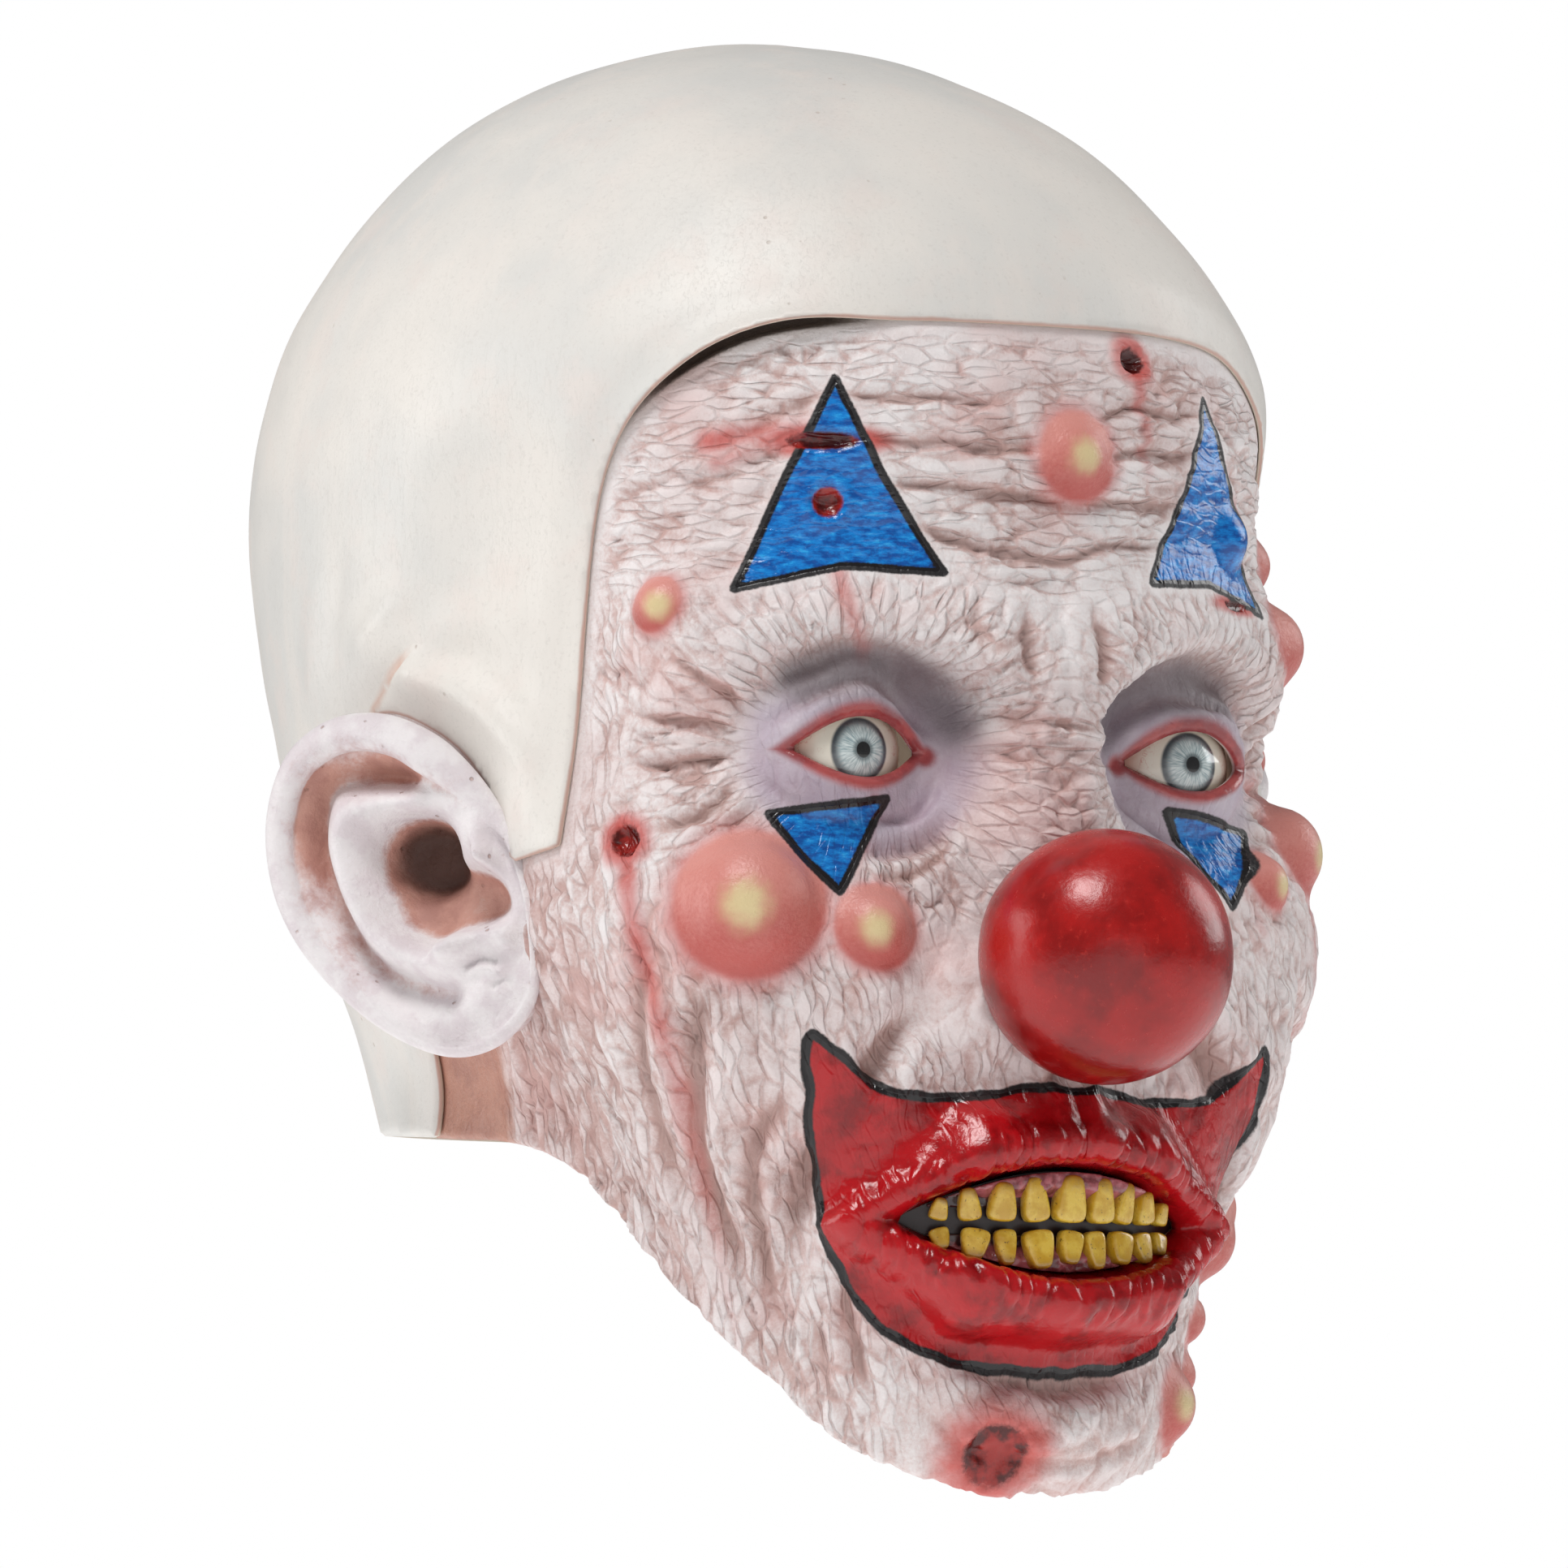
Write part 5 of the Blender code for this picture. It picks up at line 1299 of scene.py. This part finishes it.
def cap_relief(points):
    """Low swellings all over the cap and folds where it is stretched over the ears."""
    azimuth = np.degrees(azimuth_of(points))
    up = points[..., 2]
    side = np.radians(np.abs(azimuth)) * SKIN_RADIUS
    relief = 0.55 * noise(points[..., 0] / 34 + 3, up / 30, 51) + 0.25 * noise(points[..., 1] / 15, up / 15, 52)
    shadow = np.zeros(side.shape)
    for height, width, flesh, path in CAP_FOLDS:
        gap, place = near_path(side, up, on_skin(path))
        fade = np.clip(np.minimum(place, 1.0 - place) / 0.25, 0.0, 1.0)
        swell = np.exp(-(gap / width) ** 2) * fade
        relief = relief + height * swell
        # Flesh-toned painted shade along the folds marked for it
        shadow = np.maximum(shadow, flesh * np.exp(-(gap / (0.7 * width)) ** 2) * fade)
    return relief, shadow


# The ear's own plane, in mm: back and up from its middle, seen from its side of the head.
# Outline columns: back, up, then the radius of the rolled rim and how far it curls over, from 0 to 1
EAR_OUTLINE = [
    (-10.0, 28.0, 4.2, 1.0), (0.0, 33.0, 4.0, 1.0), (11.5, 33.5, 3.6, 1.0), (21.5, 28.0, 3.2, 1.0),
    (27.0, 17.0, 3.0, 1.0), (27.5, 4.0, 2.9, 0.9), (23.5, -8.0, 2.7, 0.7), (15.0, -19.5, 2.6, 0.45),
    (4.5, -28.5, 2.6, 0.2), (-7.0, -33.5, 2.6, 0.0), (-18.0, -32.0, 2.6, 0.0), (-26.0, -24.0, 2.2, 0.0),
    (-27.5, -10.0, 2.2, 0.0), (-25.5, 3.0, 2.2, 0.0), (-22.0, 12.5, 2.5, 0.25), (-16.8, 21.0, 3.3, 0.65),
]
# Ridges and hollows: height and half width in mm, then the points of each
EAR_RELIEF = [
    (4.6, 3.9, [(-4, 15.6), (3, 16.2), (8.5, 15.4), (12, 11), (12.3, 5), (10.2, -2.5), (7, -9), (2, -13.6),
                (-5, -15.6), (-10.5, -13)]),
    (1.6, 4.4, [(9, 14), (10.5, 18), (9, 22)]),
    (1.8, 4.2, [(6.5, 9), (8, 3), (6.5, -4), (3, -9)]),
    (-4.4, 2.9, [(-4, 22), (2, 22.5), (9, 23), (15.5, 21.5), (18.6, 16), (18.8, 9.5), (16.6, 2), (14, -4.5),
                 (10.5, -10.5), (4.5, -16), (-2.6, -19.4), (-8, -21.2)]),
    (-2.2, 3.2, [(-3, 20.5), (3, 20.5), (8, 20)]),
    (3.0, 3.6, [(-10.5, 19), (-12.4, 11), (-13.2, 4.5)]),
    (4.8, 2.9, [(-19.2, 13), (-18.2, 8.5), (-18.8, 4)]),
    (3.6, 2.6, [(-19.6, 3), (-22.4, -1.5), (-24.4, -6), (-24.4, -10)]),
    (4.2, 2.7, [(-9.5, -12.8), (-14, -11.4), (-18, -11.2), (-22, -12.4)]),
    (2.6, 7.0, [(-10, -22), (-17, -21)]),
    (-1.1, 0.9, [(-13.2, -16.6), (-15.5, -15.8), (-18, -16.8)]),
    (-1.0, 0.8, [(-17.6, -21.2), (-19.5, -20.4), (-21, -21)]),
    (0.9, 0.9, [(-13.4, -18.4), (-16.4, -18.0), (-19, -18.8)]),
]
# The bowl: depth, then its middle and half sizes, back and up
EAR_BOWLS = [(9.6, -2.6, 5.2, 8.8, 7.4), (5.4, -8.6, -4.4, 13.0, 6.8)]


def make_ear(name, side, finish):
    """An ear with a rolled rim, from rings that start at its middle, turn over the rim and run back to the head."""
    back = np.array((math.sin(EAR_FLARE), math.cos(EAR_FLARE), 0.0))
    out = np.array((math.cos(EAR_FLARE), -math.sin(EAR_FLARE), 0.0))
    rise = np.array((0.0, 0.0, 1.0))
    along = math.cos(EAR_LEAN) * back - math.sin(EAR_LEAN) * rise
    up = math.cos(EAR_LEAN) * rise + math.sin(EAR_LEAN) * back
    level = np.array([TOP_ARC + SPINE_TOP - EAR_HEIGHT_ON_HEAD])
    front_edge = reach_skin(core_distance, np.array([EAR_AZIMUTH]), level)[0]
    middle = front_edge + along * EAR_SET_BACK + out * 1.5
    ring = np.array(rounded_loop(EAR_OUTLINE, EAR_SPOKES))
    edge_u, edge_v, roll, curl = ring.T
    far = np.hypot(edge_u, edge_v)
    way_u, way_v = edge_u / far, edge_v / far
    foot_turn = np.radians(90.0 + 105.0 * curl)
    start_far = far - roll + roll * np.cos(foot_turn)
    rim_height = 1.0 + 2.6 * curl
    stations = []
    cavities = []
    deeps = []
    for share in np.linspace(0.03, 1.0, 52):
        reach = start_far * share
        u, v = way_u * reach, way_v * reach
        relief, deep = ear_relief(u, v)
        foot = rim_height + roll * np.sin(foot_turn) * ramp(curl, 0.0, 0.2)
        blend = ramp(share, 0.80, 1.0)
        height = relief * (1.0 - blend) + foot * blend
        stations.append((u, v, height))
        cavities.append(np.clip(-relief / 4.0, 0.0, 1.0) + 0.6 * blend * curl)
        deeps.append(deep)
    for step in np.linspace(0.0, 1.0, 15)[1:]:
        turn = foot_turn + (np.radians(-75.0) - foot_turn) * step
        reach = far - roll + roll * np.cos(turn)
        flatten = 0.72 + 0.28 * curl
        height = rim_height + roll * np.sin(turn) * flatten
        stations.append((way_u * reach, way_v * reach, height))
        cavities.append(np.clip(0.5 - step, 0.0, 0.4) * curl)
        deeps.append(np.zeros(EAR_SPOKES))
    points = [middle + along * u[:, None] + up * v[:, None] + out * h[:, None] for u, v, h in stations]
    last = points[-1]
    heading = np.arctan2(way_v, way_u)
    root = middle + along * (-13.0 + 11.5 * np.cos(heading))[:, None] + up * (-1.0 + 24.0 * np.sin(heading))[:, None]
    root = root - out * EAR_THICKNESS
    for _ in range(20):
        root[:, 0] -= core_distance(root) + EAR_ROOT_DEPTH
    for share in np.linspace(0.12, 1.0, 9):
        tuck = out * (EAR_THICKNESS * 0.8 * math.sin(share * math.pi))
        points.append(last * (1 - share) + root * share - tuck * (1.0 if share < 1 else 0.0))
        cavities.append(np.full(EAR_SPOKES, 0.4))
        deeps.append(np.zeros(EAR_SPOKES))
    centre_relief, centre_deep = ear_relief(np.zeros(1), np.zeros(1))
    vertices = [middle + out * centre_relief[0]] + [p for row in points for p in row] + [root.mean(0)]
    cavity = np.concatenate([[1.0]] + cavities + [[0.0]])
    deep = np.concatenate([centre_deep] + deeps + [[0.0]])
    faces = []
    for at in range(EAR_SPOKES):
        nxt = (at + 1) % EAR_SPOKES
        faces.append([0, 1 + at, 1 + nxt])
        for row in range(len(points) - 1):
            base = 1 + row * EAR_SPOKES
            faces.append([base + at, base + EAR_SPOKES + at, base + EAR_SPOKES + nxt, base + nxt])
        base = 1 + (len(points) - 1) * EAR_SPOKES
        faces.append([base + at, len(vertices) - 1, base + nxt])
    if side < 0:
        faces = [face[::-1] for face in faces]
    vertices = np.array(vertices) * (side, 1.0, 1.0)
    mesh = bpy.data.meshes.new(name)
    mesh.from_pydata(to_frame(vertices).tolist(), [], faces)
    mesh.update()
    set_values(mesh, {"cavity": cavity, "deep": deep})
    return add_piece(name, mesh, finish, "face_skin")


def rounded_loop(table, count):
    """Rows spread evenly round a smooth closed line through a table's rows."""
    rows = [np.array(row, float) for row in table]
    found = []
    for place in np.arange(count) * len(rows) / count:
        at = int(place)
        share = place - at
        before, start, end, after = (rows[(at + step) % len(rows)] for step in (-1, 0, 1, 2))
        bend = (2 * before - 5 * start + 4 * end - after) * share ** 2
        swing = (3 * start - before - 3 * end + after) * share ** 3
        found.append(start + 0.5 * ((end - before) * share + bend + swing))
    return found


def ear_relief(u, v):
    """Height of the ear's face over its plane, and how deep in the bowl each place is, from 0 to 1."""
    height = np.full(u.shape, 0.6)
    deep = np.zeros(u.shape)
    for depth, bowl_u, bowl_v, half_u, half_v in EAR_BOWLS:
        inside = ((u - bowl_u) / half_u) ** 2 + ((v - bowl_v) / half_v) ** 2
        bowl = 1.0 / (1.0 + inside ** 4)
        height = height - depth * bowl * (1.0 - 0.6 * deep)
        deep = np.maximum(deep, bowl * depth / 9.6)
    for rise, width, path in EAR_RELIEF:
        gap, _ = near_path(u, v, path)
        height = height + rise * np.exp(-(gap / width) ** 2)
    return height, deep


def make_ball_nose(finish):
    """A ball pressed over the nose tip, from a sphere whose back follows the face."""
    tip = reach_skin(face_distance, np.zeros(1), np.array([TOP_ARC + SPINE_TOP - NOSE_HEIGHT]))[0]
    centre = np.array((0.0, tip[1] - NOSE_FORWARD, NOSE_HEIGHT))
    bpy.ops.object.select_all(action="DESELECT")
    bpy.ops.mesh.primitive_uv_sphere_add(segments=96, ring_count=64, radius=1.0,
                                         rotation=(math.pi / 2, 0.0, 0.0))
    ball = bpy.context.object
    bpy.ops.object.transform_apply(location=True, rotation=True, scale=True)
    heading = np.array([vertex.co[:] for vertex in ball.data.vertices])
    uneven = 1.0 + 0.010 * noise(heading[:, 0] * 1.6 + 5, heading[:, 2] * 1.6, 91)
    far = np.zeros(len(heading))
    for _ in range(60):
        room = face_distance(centre + far[:, None] * heading) - NOSE_GAP
        far = np.minimum(NOSE_RADIUS * uneven, far + 0.7 * np.maximum(room, 0.0))
    points = to_frame(centre + far[:, None] * heading)
    ball.data.vertices.foreach_set("co", points.ravel())
    ball.data.update()
    ball.name = ball.data.name = "glossy_nose"
    return finish_piece(ball, finish, "ball_nose")


def make_eye(name, side, finish, node):
    """A hollow dome with a slightly raised clear front, open at the back."""
    bpy.ops.object.select_all(action="DESELECT")
    bpy.ops.mesh.primitive_uv_sphere_add(segments=72, ring_count=48, radius=EYE_RADIUS,
                                         rotation=(math.pi / 2, 0.0, 0.0))
    eye = bpy.context.object
    bpy.ops.object.transform_apply(location=True, rotation=True, scale=True)
    bpy.ops.object.mode_set(mode="EDIT")
    bpy.ops.mesh.select_all(action="SELECT")
    bpy.ops.mesh.bisect(plane_co=(0.0, 0.0, 0.0), plane_no=(0.0, 1.0, 0.0), clear_outer=True)
    bpy.ops.object.mode_set(mode="OBJECT")
    wall = eye.modifiers.new("wall", "SOLIDIFY")
    wall.thickness = EYE_WALL
    wall.offset = -1.0
    bpy.ops.object.modifier_apply(modifier=wall.name)
    points = np.array([vertex.co[:] for vertex in eye.data.vertices])
    off_axis = np.hypot(points[:, 0], points[:, 2])
    front = (points[:, 1] < 0) & (np.linalg.norm(points, axis=1) > EYE_RADIUS - 0.5)
    points[:, 1] -= np.where(front, 0.55 * np.exp(-(off_axis / (0.8 * IRIS_RADIUS)) ** 4), 0.0)
    set_values(eye.data, {"off_axis": np.where(front, off_axis, 20.0),
                          "turn_x": points[:, 0] / np.maximum(off_axis, 0.05),
                          "turn_y": points[:, 2] / np.maximum(off_axis, 0.05)})
    centre = EYE_CENTRE * (side, 1.0, 1.0)
    eye.data.vertices.foreach_set("co", to_frame(points + centre).ravel())
    eye.data.update()
    eye.name = eye.data.name = name
    return finish_piece(eye, finish, node)


def mouth_sheet(name, half_width, low, high, keep, front, behind, columns, rows, finish, node):
    """A small walled sheet behind the lips, from rays over the mouth only."""
    muzzle = np.array([TOP_ARC + SPINE_TOP - MOUTH_HEIGHT])
    reach = abs(reach_skin(core_distance, np.zeros(1), muzzle)[0][1])
    span = math.atan2(half_width, 0.86 * reach)
    levels = np.linspace(TOP_ARC + SPINE_TOP - high, TOP_ARC + SPINE_TOP - low, rows)
    azimuth, down = np.meshgrid(np.linspace(-span, span, columns), levels)
    side = keep(reach_skin(core_distance, azimuth, down))
    azimuth, down, side = snap_to_outline(azimuth, down, side, False)
    points = reach_skin(core_distance, azimuth, down)
    outer = reach_skin(core_distance, azimuth, down, front(points))
    inner = reach_skin(core_distance, azimuth, down, behind)
    faces = kept_faces(side, False)
    stand_out = np.broadcast_to(front(points) + 2.0, side.shape).ravel()
    mesh = walled_mesh(name, outer.reshape(-1, 3), inner.reshape(-1, 3), faces, {"stand_out": stand_out})
    return add_piece(name, mesh, finish, node)


def make_mouth_plate(finish):
    high = MOUTH_HEIGHT + UPPER_LIP_OPENING + 1.6 * PLATE_MARGIN
    low = MOUTH_HEIGHT - LOWER_LIP_OPENING - 1.6 * PLATE_MARGIN
    front = -SKIN_WALL - FIT_GAP
    return mouth_sheet("mouth_lining", MOUTH_WIDTH / 2 + PLATE_MARGIN, low, high,
                       lambda points: mouth_opening(points) + PLATE_MARGIN, lambda points: front,
                       front - PLATE_WALL, 60, 30, finish, "mouth_plate")


# Teeth from the wearer's right to left. Columns: width, height and depth in mm, tilt in degrees, push forward
Tooth = namedtuple("Tooth", "width height depth tilt push")
UPPER_TEETH = [
    Tooth(4.2, 4.8, 3.6, 12, -0.5), Tooth(5.2, 6.6, 4.0, -7, -0.1), Tooth(6.4, 7.6, 4.4, 3, 0.3),
    Tooth(6.2, 8.8, 4.4, -8, 0.1), Tooth(7.8, 9.2, 4.8, 3, 0.6), Tooth(6.6, 8.8, 4.6, -2, 0.2),
    Tooth(5.0, 8.2, 4.2, 8, 0.0), Tooth(5.4, 6.8, 4.2, -6, 0.2), Tooth(4.4, 5.4, 3.8, 8, -0.3),
]
LOWER_TEETH = [
    Tooth(3.6, 4.8, 3.4, -14, -0.4), Tooth(5.2, 6.0, 3.8, 9, 0.1), Tooth(4.0, 7.0, 3.8, -3, -0.2),
    Tooth(5.8, 7.6, 4.2, -6, 0.3), Tooth(4.8, 6.6, 4.0, 8, 0.0), Tooth(4.2, 7.4, 4.0, -4, -0.2),
    Tooth(5.2, 6.4, 4.0, 7, 0.2), Tooth(4.2, 6.0, 3.8, -9, -0.1), Tooth(3.8, 4.8, 3.4, 10, -0.4),
]
TOOTH_GAP = 0.35
BITE_GAP = 1.2
TEETH_WIDTH = 53.0


def make_tooth_pattern():
    """One tooth, a unit wide, deep and tall: broad at its biting edge and narrow at the gum."""
    bpy.ops.object.select_all(action="DESELECT")
    bpy.ops.mesh.primitive_cube_add(size=1.0)
    tooth = bpy.context.object
    bpy.ops.object.mode_set(mode="EDIT")
    bpy.ops.mesh.select_all(action="SELECT")
    bpy.ops.mesh.subdivide(number_cuts=2)
    bpy.ops.object.mode_set(mode="OBJECT")
    for vertex in tooth.data.vertices:
        x, y, z = vertex.co
        low = 0.5 - z
        vertex.co.x = x * (0.62 + 0.38 * min(1.0, 1.5 * low)) * (1.0 - 0.10 * (abs(y) * 2) ** 2)
        vertex.co.y = y * (1.0 - 0.35 * low) - 0.10 * (0.25 - x * x) * (1.0 if y < 0 else 0.0)
        vertex.co.z = z + 0.05 * (4 * x * x) * (1 if z < 0 else -1) * (1.0 if abs(z) > 0.4 else 0.0)
    smooth = tooth.modifiers.new("smooth", "SUBSURF")
    smooth.levels = smooth.render_levels = 2
    bpy.ops.object.modifier_apply(modifier=smooth.name)
    set_values(tooth.data, {"root": [vertex.co.z + 0.5 for vertex in tooth.data.vertices]})
    return tooth


def make_teeth(prefix, table, upper, pattern, finish, node):
    """A row of teeth set side by side along the muzzle's curve."""
    sign = 1.0 if upper else -1.0
    total = sum(tooth.width for tooth in table) + TOOTH_GAP * (len(table) - 1)
    fit = TEETH_WIDTH / total
    edge = -TEETH_WIDTH / 2
    made = []
    for number, tooth in enumerate(table, 1):
        width = tooth.width * fit
        middle = edge + width / 2
        edge += width + TOOTH_GAP * fit
        point = mouth_point(middle)
        ahead = mouth_point(middle + 0.5) - mouth_point(middle - 0.5)
        turn = math.atan2(ahead[1], ahead[0])
        opening = (UPPER_LIP_OPENING if upper else LOWER_LIP_OPENING) * (1.0 - (middle / (MOUTH_WIDTH / 2)) ** 2)
        height = min(tooth.height, opening - BITE_GAP + 1.2)
        copy = pattern.copy()
        copy.data = pattern.data.copy()
        copy.name = copy.data.name = f"{prefix}_{number}"
        bpy.context.scene.collection.objects.link(copy)
        size = Matrix.Diagonal((width * 0.93 * MM, tooth.depth * MM, height * sign * MM, 1.0))
        lean = Matrix.Rotation(math.radians(tooth.tilt), 4, "Y")
        place = Matrix.Translation(Vector(to_frame(
            point + (0.0, -tooth.push + 0.9, sign * (BITE_GAP / 2 + height / 2)))))
        copy.data.transform(place @ Matrix.Rotation(turn, 4, "Z") @ lean @ size)
        if not upper:
            copy.data.flip_normals()
        made.append(finish_piece(copy, finish, node))
    return made


def mouth_point(across):
    """The plain muzzle's front between the lips, at that distance from the middle."""
    down = np.array([TOP_ARC + SPINE_TOP - MOUTH_HEIGHT])
    azimuth = np.array([math.atan2(across, 96.0)])
    for _ in range(4):
        found = reach_skin(core_distance, azimuth, down)[0]
        azimuth = azimuth + (across - found[0]) / 96.0
    return found


def make_gum(name, upper, finish, node):
    """A wet gum with a scalloped edge, from which the teeth stand."""
    sign = 1.0 if upper else -1.0
    opening = UPPER_LIP_OPENING if upper else LOWER_LIP_OPENING
    low, high = (MOUTH_HEIGHT, MOUTH_HEIGHT + opening) if upper else (MOUTH_HEIGHT - opening, MOUTH_HEIGHT)

    def keep(points):
        own_half = sign * (points[..., 2] - MOUTH_HEIGHT) - 2.6
        within = (TEETH_WIDTH + 4) / 2 - np.abs(points[..., 0])
        return np.minimum(np.minimum(mouth_opening(points) - 0.3, within), own_half)

    def front(points):
        lobes = np.abs(np.sin(points[..., 0] / TEETH_WIDTH * math.pi * 9 + math.pi / 2))
        out = ramp(sign * (points[..., 2] - MOUTH_HEIGHT), 4.2, 7.6 - 1.2 * lobes)
        return -2.0 + 2.1 * out + 0.5 * lobes * out + 0.2 * noise(points[..., 0], points[..., 2], 77)

    return mouth_sheet(name, TEETH_WIDTH / 2 + 4, low, high, keep, front, -SKIN_WALL, 150, 26, finish, node)


# Studio

VIEW_AZIMUTH = math.radians(-32.0)
VIEW_ELEVATION = math.radians(-4.0)
PIXELS = 1932
PHOTO_SCALE = 0.157
AXIS_PIXEL = 958.6
CROWN_PIXEL = 70
CROWN_HEIGHT = 283.6
CAMERA_FAR = 3.0
SENSOR = 36.0
FLOOR_DROP = 0.22
WORLD_LIGHT = 0.20


def make_camera():
    """A long lens at the photograph's angle, framed by where the crown and the head's axis lie in it."""
    middle = PIXELS / 2
    drop = CROWN_HEIGHT - (middle - CROWN_PIXEL) * PHOTO_SCALE
    level = math.cos(VIEW_ELEVATION)
    right = Vector((math.cos(VIEW_AZIMUTH), math.sin(VIEW_AZIMUTH), 0.0))
    target = Vector(to_frame((0.0, 0.0, drop / level)))
    target += right * ((middle - AXIS_PIXEL) * PHOTO_SCALE * MM)
    towards = Vector((math.sin(VIEW_AZIMUTH) * level, -math.cos(VIEW_AZIMUTH) * level, math.sin(VIEW_ELEVATION)))
    data = bpy.data.cameras.new("camera")
    data.sensor_width = SENSOR
    data.lens = SENSOR * CAMERA_FAR / (PIXELS * PHOTO_SCALE * MM)
    data.clip_end = 30.0
    camera = bpy.data.objects.new("camera", data)
    bpy.context.scene.collection.objects.link(camera)
    camera.location = target + towards * CAMERA_FAR
    camera.rotation_euler = towards.to_track_quat("Z", "Y").to_euler()
    bpy.context.scene.camera = camera
    return target


def add_light(name, target, across, ahead, above, size, power, colour=(1.0, 1.0, 1.0)):
    """A soft light placed from the camera's side: across to its right, ahead towards it, and above."""
    right = Vector((math.cos(VIEW_AZIMUTH), math.sin(VIEW_AZIMUTH), 0.0))
    front = Vector((math.sin(VIEW_AZIMUTH), -math.cos(VIEW_AZIMUTH), 0.0))
    data = bpy.data.lights.new(name, "AREA")
    data.size = size
    data.energy = power
    data.color = colour
    light = bpy.data.objects.new(name, data)
    bpy.context.scene.collection.objects.link(light)
    light.location = target + right * across + front * ahead + Vector((0.0, 0.0, above))
    light.rotation_euler = (light.location - target).to_track_quat("Z", "Y").to_euler()


def make_studio():
    scene = bpy.context.scene
    scene.view_settings.view_transform = "Standard"
    scene.world = make_world()
    target = make_camera()
    add_light("key", target, -0.35, 0.80, 1.40, 0.6, 17.0)
    add_light("fill", target, 0.5, 1.9, -0.3, 1.6, 3.5)
    add_light("left", target, -1.5, 0.0, 0.3, 0.8, 6.0)
    add_light("rim_right", target, 1.2, -0.6, 0.5, 0.7, 5.0)
    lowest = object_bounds()[0][2]
    bpy.ops.object.select_all(action="DESELECT")
    bpy.ops.mesh.primitive_plane_add(size=12.0, location=(0.0, 0.0, lowest - FLOOR_DROP))
    floor = bpy.context.object
    floor.name = floor.data.name = "floor"
    floor.data.materials.append(white_paper())


def make_world():
    """White all round, but a soft light only."""
    world = bpy.data.worlds.new("studio")
    world.use_nodes = True
    nodes, links = world.node_tree.nodes, world.node_tree.links
    seen = nodes.new("ShaderNodeLightPath")
    strength = nodes.new("ShaderNodeMapRange")
    strength.inputs["To Min"].default_value = WORLD_LIGHT
    strength.inputs["To Max"].default_value = 1.0
    links.new(seen.outputs["Is Camera Ray"], strength.inputs["Value"])
    links.new(strength.outputs["Result"], nodes["Background"].inputs["Strength"])
    nodes["Background"].inputs["Color"].default_value = (1.0, 1.0, 1.0, 1.0)
    return world


def main():
    skin = painted_latex()
    ear = ear_latex()
    cap = cap_latex()
    red = nose_gloss()
    eye = eye_gloss()
    tooth = tooth_gloss()
    dark = mouth_black()
    gum = gum_gloss()
    make_face_skin(skin)
    make_bald_cap(cap)
    make_ear("left_ear", 1, ear)
    make_ear("right_ear", -1, ear)
    make_ball_nose(red)
    make_eye("left_eyeball", 1, eye, "left_eye")
    make_eye("right_eyeball", -1, eye, "right_eye")
    make_mouth_plate(dark)
    make_gum("upper_gum", True, gum, "upper_teeth")
    make_gum("lower_gum", False, gum, "lower_teeth")
    pattern = make_tooth_pattern()
    make_teeth("upper_tooth", UPPER_TEETH, True, pattern, tooth, "upper_teeth")
    make_teeth("lower_tooth", LOWER_TEETH, False, pattern, tooth, "lower_teeth")
    bpy.data.objects.remove(pattern)
    make_studio()


main()
